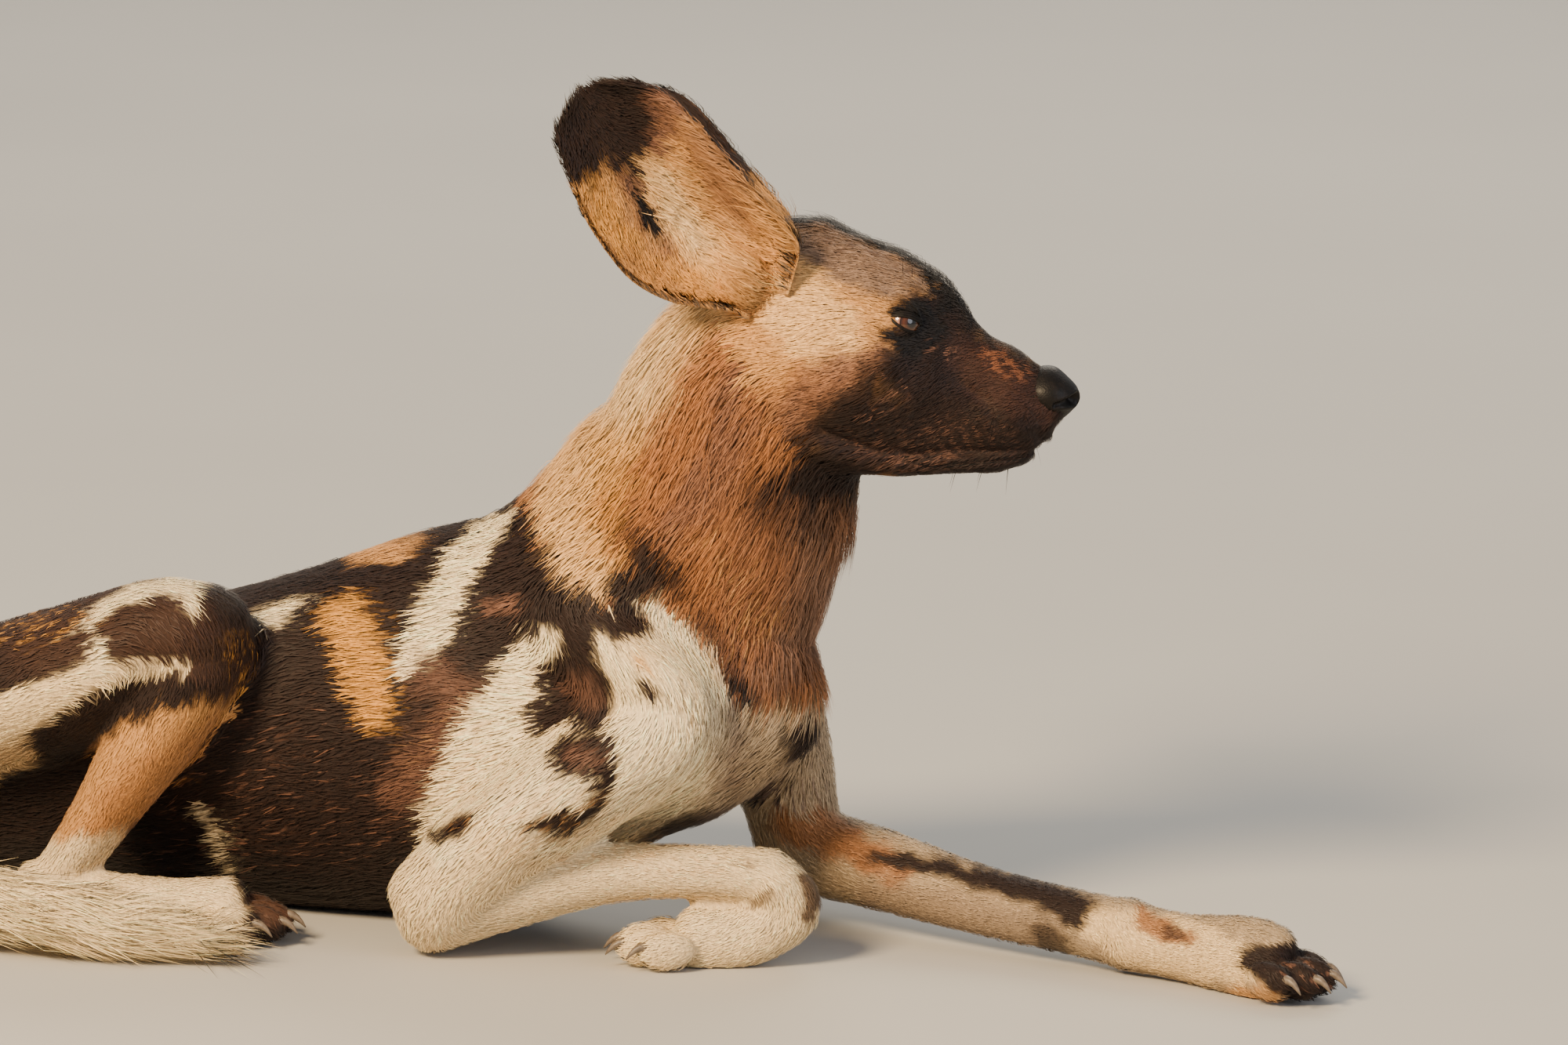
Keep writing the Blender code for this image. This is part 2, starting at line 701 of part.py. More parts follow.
def tail_shape(bm):
    """The tail, as one smooth tube."""
    loft(bm, tail_rings(), up=(0, 0, 1), sides=20, steps=5, blunt=0.9)


def tube_surface(rings, up):
    """A function that gives a point of a tube and the way out of it.

    Its arguments are the share of the tube's length, the angle round it in degrees and the height over
    its surface.
    """
    rows = smooth_rows(rings, 12)
    centres = rows[:, :3]
    steps = np.linalg.norm(np.diff(centres, axis=0), axis=1)
    shares = np.concatenate([[0.0], np.cumsum(steps)]) / steps.sum()
    ahead = unit(np.gradient(centres, axis=0))
    aside = unit(np.cross(np.array(up, float), ahead))
    above = np.cross(ahead, aside)
    table = np.hstack([rows, aside, above])

    def at(share, angle, rise):
        row = np.array([np.interp(share, shares, column) for column in table.T])
        turn = math.radians(angle)
        reach = row[4] if math.sin(turn) > 0 else row[5]
        offset = row[6:9] * row[3] * math.cos(turn) + row[9:12] * reach * math.sin(turn)
        out = unit(row[6:9] * math.cos(turn) / row[3] + row[9:12] * math.sin(turn) / reach)
        return row[:3] + offset + out * rise, out

    return at, steps.sum()


def add_lock(surface, share, angle, plan, size, twist):
    """One flat tapered lock that is rooted in a tube, leaves it and bends back to its lie."""
    at, length = surface
    sink, (crest, end) = plan["sink"], plan["rise"]
    bm = bmesh.new()
    rows = []
    for along_it, breadth, depth in (*LOCK_ROWS, (1.0, 0.0, 0.0)):
        rise = np.interp(along_it, (0.0, 0.6, 1.0), (-sink, crest * size, end * size))
        turn = angle + twist * along_it**2
        place, out = at(share + plan["way"] * plan["length"] * size * along_it / length, turn, rise)
        rows.append((place, out, plan["width"] / 2 * breadth, plan["thick"] / 2 * depth))
    loops = []
    for (place, out, half, deep), (other, *_) in zip(rows, rows[1:]):
        side = unit(np.cross(out, other - place))
        corners = (side * half, out * deep, -side * half, -out * deep)
        loops.append([bm.verts.new(place + corner) for corner in corners])
    tip = bm.verts.new(rows[-1][0])
    for first, second in zip(loops, loops[1:]):
        for k in range(4):
            n = (k + 1) % 4
            bm.faces.new((first[k], first[n], second[n], second[k]))
    for k in range(4):
        bm.faces.new((loops[-1][k], loops[-1][(k + 1) % 4], tip))
    bm.faces.new(loops[0][::-1])
    bmesh.ops.triangulate(bm, faces=bm.faces)
    return new_object("lock", bm)


def add_locks(obj, rings, up, plan, chance):
    """Joins overlapping rows of locks to the object."""
    surface = tube_surface(rings, up)
    first, last = plan["round"]
    whole = last - first >= 360.0
    locks = []
    for row, share in enumerate(np.linspace(plan["from"], plan["to"], plan["rows"])):
        for place in range(plan["across"]):
            step = (place + 0.5 * (row % 2 if whole else 1)) / plan["across"]
            angle = first + (last - first) * (step + chance.uniform(-0.2, 0.2) / plan["across"])
            shift = chance.uniform(-0.3, 0.3) * (plan["to"] - plan["from"]) / plan["rows"]
            size, twist = chance.uniform(0.85, 1.1), chance.uniform(-9.0, 9.0)
            locks.append(add_lock(surface, share + shift, angle, plan, size, twist))
    join(obj, locks)


def join(obj, others):
    """Joins many closed objects to obj at once; they are then removed."""
    group = bpy.data.collections.new("joined")
    bpy.context.scene.collection.children.link(group)
    for other in others:
        bpy.context.scene.collection.objects.unlink(other)
        group.objects.link(other)
    before = obj.data.copy()
    whole = bulk(before)
    for solver in ("EXACT", "MANIFOLD"):
        step = obj.modifiers.new("boolean", "BOOLEAN")
        step.operation = "UNION"
        step.operand_type = "COLLECTION"
        step.solver = solver
        step.collection = group
        settle(obj)
        after = bulk(obj.data)
        if after is not None and after >= whole * 0.999:
            break
        obj.data = before.copy()
    else:
        raise ValueError(f"the locks don't join {obj.name}")
    bpy.data.meshes.remove(before)
    for other in others:
        bpy.data.objects.remove(other)
    bpy.data.collections.remove(group)


def toe_frame(toes):
    """The foot's own frame at the root of its toes."""
    ahead = Vector(toes["ahead"]).normalized()
    aside = Vector(toes["spread"])
    aside = (aside - ahead * aside.dot(ahead)).normalized()
    above = ahead.cross(aside)
    if above.z < 0:
        above = -above
    rows = Matrix((ahead, aside, above)).transposed().to_4x4()
    return Matrix.Translation(toes["at"]) @ rows


def toe_shapes(bm, toes):
    """The four toes of one foot."""
    frame = toe_frame(toes)
    for forward, aside in TOE_SPOTS:
        spot = frame @ Vector((forward, aside, 0.0))
        turn = frame.to_3x3().to_4x4() @ Matrix.Rotation(math.radians(260 * aside), 4, "Z")
        blob(bm, spot, TOE_RADII, turn)


def add_claws(obj, toes):
    """Joins a short claw to each toe."""
    frame = toe_frame(toes)
    for forward, aside in TOE_SPOTS:
        start = frame @ Vector((forward + TOE_RADII[0] * 0.60, aside * 1.10, 0.0030))
        end = frame @ Vector((forward + TOE_RADII[0] * 0.60 + CLAW_LENGTH, aside * 1.22, -0.0040))
        bm = bmesh.new()
        matrix = Matrix.Translation((start + end) / 2) @ facing(end - start)
        length = (end - start).length
        bmesh.ops.create_cone(
            bm, cap_ends=True, segments=5, radius1=CLAW_ROOT, radius2=CLAW_TIP, depth=length, matrix=matrix
        )
        boolean(obj, new_object("claw", bm), "UNION")
    return keep_largest(obj)


def leg_pieces(leg, earlier):
    """One leg's pieces from the foot up, and their uncut forms.

    Each is cut by the pieces below it, and by the legs that were built earlier.
    """
    plan = LEGS[leg]
    made, uncut = [], []
    for piece in reversed([name for name in plan if name != "toes"]):
        bm = bmesh.new()
        loft(bm, plan[piece], up=LEG_UP, sides=24, steps=4, blunt=0.7)
        is_foot = piece in ("paw", "foot")
        if is_foot:
            toe_shapes(bm, plan["toes"])
        obj = thin_out(fuse(f"{leg}_{piece}", bm, LEG_VOXEL, 4), LEG_TRIANGLES[piece])
        form = copy_object(obj, "uncut")
        if is_foot:
            add_claws(obj, plan["toes"])
        trim_floor(carve(obj, earlier + uncut))
        made.append(obj)
        uncut.append(form)
    return made, uncut


def eye_frame(side):
    """The eye's own frame: +Z out between the lids, +X towards the outer corner."""
    out = Vector((EYE_OPENS[0], side * EYE_OPENS[1], EYE_OPENS[2])).normalized()
    tilt = math.radians(EYE_TILT)
    corner = Vector((-math.cos(tilt), 0.0, math.sin(tilt)))
    corner = (corner - out * corner.dot(out)).normalized()
    rows = Matrix((corner, out.cross(corner), out)).transposed().to_4x4()
    return head_matrix() @ Matrix.Translation((EYE[0], side * EYE[1], EYE[2])) @ rows


def eye_ball(side, radius, name):
    """A ball of this radius at the eye's place."""
    bm = bmesh.new()
    bmesh.ops.create_uvsphere(bm, u_segments=16, v_segments=9, radius=radius, matrix=eye_frame(side))
    return new_object(name, bm)


def eye_slot(side):
    """A cutter with the almond outline of the open lids."""
    half_long, half_high = EYE_SLOT
    bm = bmesh.new()
    loops = []
    for level, widen in ((EYE_RADIUS * 0.30, 0.85), (EYE_RADIUS * 1.6, 1.12)):
        ring = []
        for turn in np.linspace(0.0, 2 * math.pi, 14, endpoint=False):
            x = math.cos(turn) * half_long * widen
            y = math.copysign(abs(math.sin(turn)) ** 1.3, math.sin(turn)) * half_high * widen
            ring.append(bm.verts.new((x, y, level)))
        loops.append(ring)
    for k in range(14):
        n = (k + 1) % 14
        bm.faces.new((loops[0][k], loops[0][n], loops[1][n], loops[1][k]))
    bm.faces.new(loops[0][::-1])
    bm.faces.new(loops[1])
    bm.transform(eye_frame(side))
    return new_object("slot", bm)


def nose_pad():
    """The bare nose with its two nostrils."""
    frame = head_matrix()
    bm = bmesh.new()
    blob(bm, frame @ Vector(NOSE), NOSE_RADII, frame.to_3x3().to_4x4())
    pad = thin_out(fuse("nose", bm, 0.0012, 1), 220)
    for side in (-1, 1):
        bm = bmesh.new()
        spot = frame @ Vector((NOSTRIL[0], side * NOSTRIL[1], NOSTRIL[2]))
        turn = frame.to_3x3().to_4x4() @ Matrix.Rotation(math.radians(side * 38), 4, "Z")
        blob(bm, spot, (0.0062, 0.0034, 0.0040), turn, detail=2)
        boolean(pad, new_object("hole", bm), "DIFFERENCE")
    return keep_largest(pad)


def mouth_cutter():
    """A thin curved sheet along the mouth's line and down behind its corner."""
    line = smooth_rows([(x, 0.0, z) for x, z in MOUTH], 3)
    ahead = unit(np.gradient(line, axis=0))
    above = np.stack([-ahead[:, 2], ahead[:, 1] * 0, ahead[:, 0]], axis=1)
    bm = bmesh.new()
    rows = []
    for point, normal in zip(line, above):
        row = []
        for offset, side in ((GAP / 2, -1), (GAP / 2, 1), (-GAP / 2, 1), (-GAP / 2, -1)):
            place = point + normal * offset
            row.append(bm.verts.new((place[0], side * 0.07, place[2])))
        rows.append(row)
    for first, second in zip(rows, rows[1:]):
        for k in range(4):
            n = (k + 1) % 4
            bm.faces.new((first[k], first[n], second[n], second[k]))
    bm.faces.new(rows[0][::-1])
    bm.faces.new(rows[-1])
    bm.transform(head_matrix())
    return new_object("mouth", bm)


def head_pieces(carvers):
    """The head, lower jaw, nose and eyes."""
    bm = bmesh.new()
    head_shape(bm)
    neck_shape(bm)
    for side in (-1, 1):
        place = head_matrix() @ Vector((EYE[0], side * EYE[1], EYE[2]))
        blob(bm, place, (EYE_RADIUS + LID,) * 3)
    stock = fuse("stock", bm, FINE_VOXEL, 5)
    swell(stock, HEAD_FORMS, head_matrix())
    thin_out(stock, 2450)
    nose = nose_pad()
    carve(stock, carvers + [nose])
    head = part_off(stock, "head")
    bpy.data.objects.remove(stock)
    eyes = []
    for side, name in ((-1, "right"), (1, "left")):
        boolean(head, eye_slot(side), "DIFFERENCE")
        boolean(head, eye_ball(side, EYE_RADIUS + GAP * 1.3, "socket"), "DIFFERENCE")
        eyes.append(eye_ball(side, EYE_RADIUS, f"eye_{name}"))
    boolean(head, mouth_cutter(), "DIFFERENCE")
    found = islands(head)
    jaw = copy_object(head, "lower_jaw")
    keep_only(jaw, found[-2])
    keep_only(head, found[-1])
    return [head, jaw, nose, *eyes]


def body_pieces(carvers):
    """The neck, the trunk in three and the tail in two."""
    bm = bmesh.new()
    torso_shape(bm)
    neck_shape(bm)
    head_shape(bm)
    tail_shape(bm)
    rump = thin_out(fuse("rump", bm, BODY_VOXEL, 6), 2300)
    chance = random.Random(LOCK_SEED)
    add_locks(rump, tail_rings(), (0, 0, 1), LOCKS["brush"], chance)
    add_locks(rump, NECK, NECK_UP, LOCKS["ruff"], chance)
    thin_out(rump, 5300)
    trim_floor(rump)
    carve(rump, carvers)
    brush = part_off(rump, "tail_brush")
    base = part_off(rump, "tail_base")
    belly = part_off(rump, "belly")
    chest = part_off(belly, "chest")
    neck = part_off(chest, "neck")
    scrap = part_off(neck, "head")
    bpy.data.objects.remove(scrap)
    return [neck, chest, belly, rump, base, brush]


def dress(obj, finish):
    """Gives the object its own material of this finish."""
    colour, roughness = FINISHES[finish]
    material = bpy.data.materials.new(obj.name)
    material.use_nodes = True
    shader = material.node_tree.nodes["Principled BSDF"]
    shader.inputs["Base Color"].default_value = (*colour, 1.0)
    shader.inputs["Roughness"].default_value = roughness
    shader.inputs["Metallic"].default_value = 0.0
    obj.data.materials.clear()
    obj.data.materials.append(material)
    obj.data.shade_smooth()
    obj.data.set_sharp_from_angle(angle=math.radians(50))


def stand_on_origin(nodes):
    """Moves everything so that the origin lies under the middle of the whole, on the floor."""
    corners = np.array([reach(obj) for obj in nodes])
    low, high = corners[:, 0].min(axis=0), corners[:, 1].max(axis=0)
    shift = Matrix.Translation((-(low[0] + high[0]) / 2, -(low[1] + high[1]) / 2, 0.0))
    for obj in nodes:
        obj.data.transform(shift)


def main():
    """Builds every node."""
    for old in list(bpy.data.objects):
        bpy.data.objects.remove(old)
    ears = []
    for side, ear in EARS.items():
        bm = bmesh.new()
        ear_shape(bm, ear)
        ears.append(thin_out(fuse(f"ear_{side}", bm, FINE_VOXEL, 2), 520))
    limbs, uncut = [], []
    for leg in LEGS:
        pieces, forms = leg_pieces(leg, uncut)
        limbs += pieces
        uncut += forms
    nodes = ears + limbs + head_pieces(ears) + body_pieces(ears + uncut)
    for form in uncut:
        bpy.data.objects.remove(form)
    for obj in nodes:
        keep_largest(obj)
        limb = "_".join(obj.name.split("_")[:2])
        default = "coat_tan" if limb == "fore_left" else "coat_white"
        dress(obj, WEARS.get(obj.name, default))
    stand_on_origin(nodes)


main()
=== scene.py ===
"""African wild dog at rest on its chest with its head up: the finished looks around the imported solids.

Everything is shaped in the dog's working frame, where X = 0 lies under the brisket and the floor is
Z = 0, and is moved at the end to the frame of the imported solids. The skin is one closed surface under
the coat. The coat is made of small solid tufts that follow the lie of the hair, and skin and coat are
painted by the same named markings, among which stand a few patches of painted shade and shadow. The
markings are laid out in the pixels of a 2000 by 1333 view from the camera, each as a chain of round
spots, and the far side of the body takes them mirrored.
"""

import json
import logging
import math
from dataclasses import dataclass, field
from enum import Enum

import bmesh
import bpy
import numpy as np
from mathutils import Matrix, Vector, kdtree
from mathutils.bvhtree import BVHTree

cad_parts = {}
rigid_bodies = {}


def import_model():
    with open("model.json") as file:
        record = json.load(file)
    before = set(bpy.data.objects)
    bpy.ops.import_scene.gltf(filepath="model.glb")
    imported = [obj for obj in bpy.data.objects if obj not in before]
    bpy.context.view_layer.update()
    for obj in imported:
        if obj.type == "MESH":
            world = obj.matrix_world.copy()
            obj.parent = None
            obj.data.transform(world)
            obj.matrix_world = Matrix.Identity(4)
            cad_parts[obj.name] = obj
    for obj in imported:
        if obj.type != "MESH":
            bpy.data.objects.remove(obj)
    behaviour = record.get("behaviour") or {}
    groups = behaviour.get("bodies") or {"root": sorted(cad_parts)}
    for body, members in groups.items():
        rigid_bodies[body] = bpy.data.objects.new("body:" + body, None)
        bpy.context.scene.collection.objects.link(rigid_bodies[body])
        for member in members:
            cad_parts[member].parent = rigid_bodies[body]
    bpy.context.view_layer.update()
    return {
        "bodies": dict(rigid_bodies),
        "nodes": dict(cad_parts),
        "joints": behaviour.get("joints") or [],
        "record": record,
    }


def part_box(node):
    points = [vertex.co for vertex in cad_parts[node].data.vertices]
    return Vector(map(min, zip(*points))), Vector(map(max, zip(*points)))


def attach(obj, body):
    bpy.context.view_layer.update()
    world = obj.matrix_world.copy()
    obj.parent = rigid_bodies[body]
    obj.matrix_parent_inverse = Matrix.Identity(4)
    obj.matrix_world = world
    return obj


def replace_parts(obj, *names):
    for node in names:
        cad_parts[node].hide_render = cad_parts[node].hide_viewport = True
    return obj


LOG = logging.getLogger("wild_dog")


class Side(Enum):
    """The dog's own two sides, with the sign of Y in the head's frame."""

    RIGHT = -1
    LEFT = 1


# The view that the markings are laid out in, in pixels
IMAGE_WIDTH, IMAGE_HEIGHT = 2000, 1333

# The trunk's turn from the working frame in degrees, and the place of the brisket and of the head's frame
BODY_YAW = 20.0
BRISKET = (0.020, -0.020)
HEAD_AT = (0.020, -0.030, 0.390)
HEAD_ROLL = -6.0

# Distance behind the brisket, top, widest level, bottom, half width
TORSO = (
    (0.000, 0.176, 0.152, 0.126, 0.030),
    (0.024, 0.216, 0.156, 0.100, 0.062),
    (0.055, 0.240, 0.158, 0.082, 0.080),
    (0.100, 0.260, 0.156, 0.064, 0.091),
    (0.160, 0.266, 0.150, 0.034, 0.097),
    (0.230, 0.250, 0.135, 0.006, 0.102),
    (0.320, 0.216, 0.118, -0.004, 0.103),
    (0.410, 0.186, 0.103, -0.004, 0.097),
    (0.490, 0.164, 0.088, -0.002, 0.090),
    (0.570, 0.138, 0.078, -0.002, 0.080),
    (0.635, 0.110, 0.068, 0.002, 0.058),
    (0.665, 0.085, 0.062, 0.030, 0.026),
)

# Centre, half width, reach to the nape, reach to the throat
NECK = (
    (-0.100, 0.024, 0.195, 0.083, 0.100, 0.106),
    (-0.060, 0.008, 0.262, 0.073, 0.094, 0.101),
    (-0.036, -0.006, 0.300, 0.067, 0.084, 0.087),
    (-0.011, -0.020, 0.357, 0.063, 0.078, 0.068),
    (0.012, -0.030, 0.398, 0.058, 0.062, 0.064),
)
NECK_UP = (-1.0, 0.17, 0.45)

# In the head's own frame: forward, top, widest level, bottom, half width
SKULL = (
    (-0.055, 0.036, 0.000, -0.050, 0.044),
    (-0.030, 0.066, 0.004, -0.060, 0.056),
    (-0.002, 0.0705, 0.004, -0.066, 0.061),
    (0.016, 0.0655, 0.000, -0.070, 0.0625),
    (0.034, 0.0590, -0.006, -0.073, 0.060),
    (0.050, 0.0520, -0.012, -0.0745, 0.055),
    (0.066, 0.0440, -0.018, -0.0745, 0.047),
    (0.078, 0.0360, -0.024, -0.074, 0.040),
    (0.088, 0.0250, -0.028, -0.073, 0.0355),
    (0.096, 0.0135, -0.032, -0.072, 0.0325),
    (0.106, 0.0040, -0.036, -0.071, 0.0305),
    (0.120, -0.0025, -0.038, -0.070, 0.0285),
    (0.134, -0.0095, -0.041, -0.068, 0.0255),
    (0.143, -0.0145, -0.043, -0.061, 0.0205),
)
JAW = (
    (0.000, -0.040, -0.062, -0.080, 0.042),
    (0.045, -0.060, -0.071, -0.084, 0.030),
    (0.085, -0.062, -0.073, -0.082, 0.023),
    (0.116, -0.062, -0.072, -0.081, 0.019),
    (0.132, -0.060, -0.069, -0.0765, 0.014),
)

# Swellings and hollows of the head on both sides: forward, aside, up, how far round, how high
HEAD_FORMS = (
    (0.012, 0.056, -0.026, 0.042, 0.0050),
    (0.038, 0.058, -0.006, 0.024, 0.0055),
    (0.056, 0.032, 0.028, 0.018, 0.0045),
    (0.012, 0.044, 0.040, 0.030, -0.0030),
    (0.084, 0.030, -0.010, 0.020, -0.0040),
    (0.112, 0.028, -0.050, 0.026, 0.0035),
    (0.130, 0.022, -0.044, 0.018, 0.0030),
    (0.070, 0.040, -0.048, 0.024, -0.0020),
    (0.030, 0.000, 0.060, 0.026, -0.0020),
)

# The left eye in the head's frame: its centre, the way it opens, the slit's tilt in degrees, the ball's
# radius, the lid's thickness, and half the slit's length and height
EYE = (0.0500, 0.0425, 0.0140)
EYE_OPENS = (0.50, 0.85, 0.10)
EYE_TILT = 14.0
EYE_RADIUS = 0.0112
LID = 0.0017
EYE_SLOT = (0.0104, 0.0054)
# The way that the iris faces, and from which share of the gaze the cornea rises, by how much
GAZE = (0.52, 0.85, 0.04)
CORNEA_EDGE, CORNEA_RISE = 0.80, 0.045
# The skin's opening as a share of the slit
SLOT_CUT = 0.98

# The nose pad as it shows, larger than the solid nose because the skin ends in front of it
PAD = (0.1418, 0.0, -0.0325)
PAD_RADII = (0.0192, 0.0196, 0.0188)
# The left nostril: its middle, and the steps of its comma from there, inner end first
NOSTRIL = (0.1568, 0.0102, -0.0345)
NOSTRIL_STEPS = (
    (0.001, -0.0025, 0.0005),
    (0.0, 0.0, 0.0),
    (-0.005, 0.0045, -0.0010),
    (-0.010, 0.0070, -0.0025),
)

# The black line up the forehead: half its width, and where it fades in and out along the head
CROWN_HALF = 0.012
CROWN_START, CROWN_END = (-0.062, -0.022), (0.078, 0.098)

# The mouth's line in profile, from under the nose to its corner
MOUTH = (
    (0.1530, -0.0590),
    (0.1450, -0.0630),
    (0.1280, -0.0700),
    (0.1020, -0.0728),
    (0.0740, -0.0755),
    (0.0520, -0.0710),
)

# Depth and half width of the mouth's groove, where it ends, and depth and half width of a fold
MOUTH_DEPTH, MOUTH_HALF = 0.0016, 0.0022
MOUTH_ENDS = (0.045, 0.156)
FOLD_DEPTH, FOLD_HALF = 0.0013, 0.0036

# The muzzle's end: where it narrows and from which height, by what share, and how far its top drops
TAPER_ENDS, TAPER_LEVELS = (0.120, 0.139), (-0.053, -0.044)
TAPER_SHARE, TOP_DROP, TOP_LEVEL = 0.25, 0.0030, -0.03
# How far the front of the upper lip and the chin draw back, at which heights and from where on
LIP_BACK, LIP_LEVEL, LIP_SPAN, LIP_ENDS = 0.0060, -0.054, 0.008, (0.112, 0.142)
CHIN_BACK, CHIN_LEVELS, CHIN_ENDS = 0.0070, (-0.062, -0.080), (0.095, 0.130)

# Folds of the face in profile: the brow, the skin below the eye and the cheek behind the mouth
FACE_FOLDS = (
    ((0.036, 0.026), (0.050, 0.0325), (0.066, 0.026), (0.074, 0.014)),
    ((0.040, 0.002), (0.054, -0.004), (0.068, 0.000), (0.078, 0.008)),
    ((0.056, -0.068), (0.040, -0.054), (0.034, -0.034), (0.038, -0.016)),
    ((0.088, -0.022), (0.104, -0.034), (0.112, -0.050)),
)

# Each ear: root and tip of its long axis, and the way its cup opens
EARS = {
    Side.RIGHT: {
        "root": (-0.022, -0.084, 0.424),
        "tip": (-0.119, -0.128, 0.562),
        "opens": (0.10, -0.96, -0.20),
    },
    Side.LEFT: {
        "root": (-0.022, 0.018, 0.415),
        "tip": (-0.104, 0.092, 0.520),
        "opens": (0.22, 0.90, -0.05),
    },
}
# The ear's wall, and its swollen root: how far behind the cup it lies and its radii
EAR_WALL = 0.0024
EAR_ROOT_DEPTH = 0.020
EAR_ROOT_RADII = (0.015, 0.017, 0.017)
# How square the cup's cross section is, and the ear's grid: cells across and along, and its two ends
EAR_CUP_POWER = 2.2
EAR_CELLS = (44, 60)
EAR_ENDS = (-0.05, 0.985)
# Folds inside the cup: height, way across, half width, share of the length where they end
EAR_FOLDS = ((0.0035, -0.25, 0.16, 0.55), (0.0030, 0.45, 0.14, 0.7))
# Share of the ear's length, half width in front, half width behind, cup depth
EAR_OUTLINE = (
    (-0.06, 0.018, 0.008, 0.016),
    (0.00, 0.030, 0.012, 0.022),
    (0.08, 0.043, 0.026, 0.027),
    (0.18, 0.043, 0.042, 0.030),
    (0.32, 0.041, 0.053, 0.029),
    (0.48, 0.038, 0.055, 0.024),
    (0.64, 0.036, 0.053, 0.018),
    (0.80, 0.032, 0.045, 0.012),
    (0.92, 0.022, 0.039, 0.008),
    (0.985, 0.008, 0.022, 0.005),
)

# The tail's line with its half thickness
TAIL = (
    (-0.572, 0.186, 0.075, 0.026),
    (-0.606, 0.128, 0.044, 0.024),
    (-0.600, 0.056, 0.030, 0.023),
    (-0.576, 0.014, 0.030, 0.021),
    (-0.536, -0.034, 0.030, 0.015),
    (-0.480, -0.070, 0.029, 0.014),
    (-0.420, -0.088, 0.024, 0.012),
    (-0.372, -0.094, 0.018, 0.006),
)


def along(distance: float, aside: float = 0.0, height: float = 0.0) -> tuple[float, float, float]:
    """Place of the trunk this far behind the brisket, this far to the left, at this height."""
    yaw = math.radians(BODY_YAW)
    x = BRISKET[0] - distance * math.cos(yaw) + aside * math.sin(yaw)
    y = BRISKET[1] + distance * math.sin(yaw) + aside * math.cos(yaw)
    return (x, y, height)


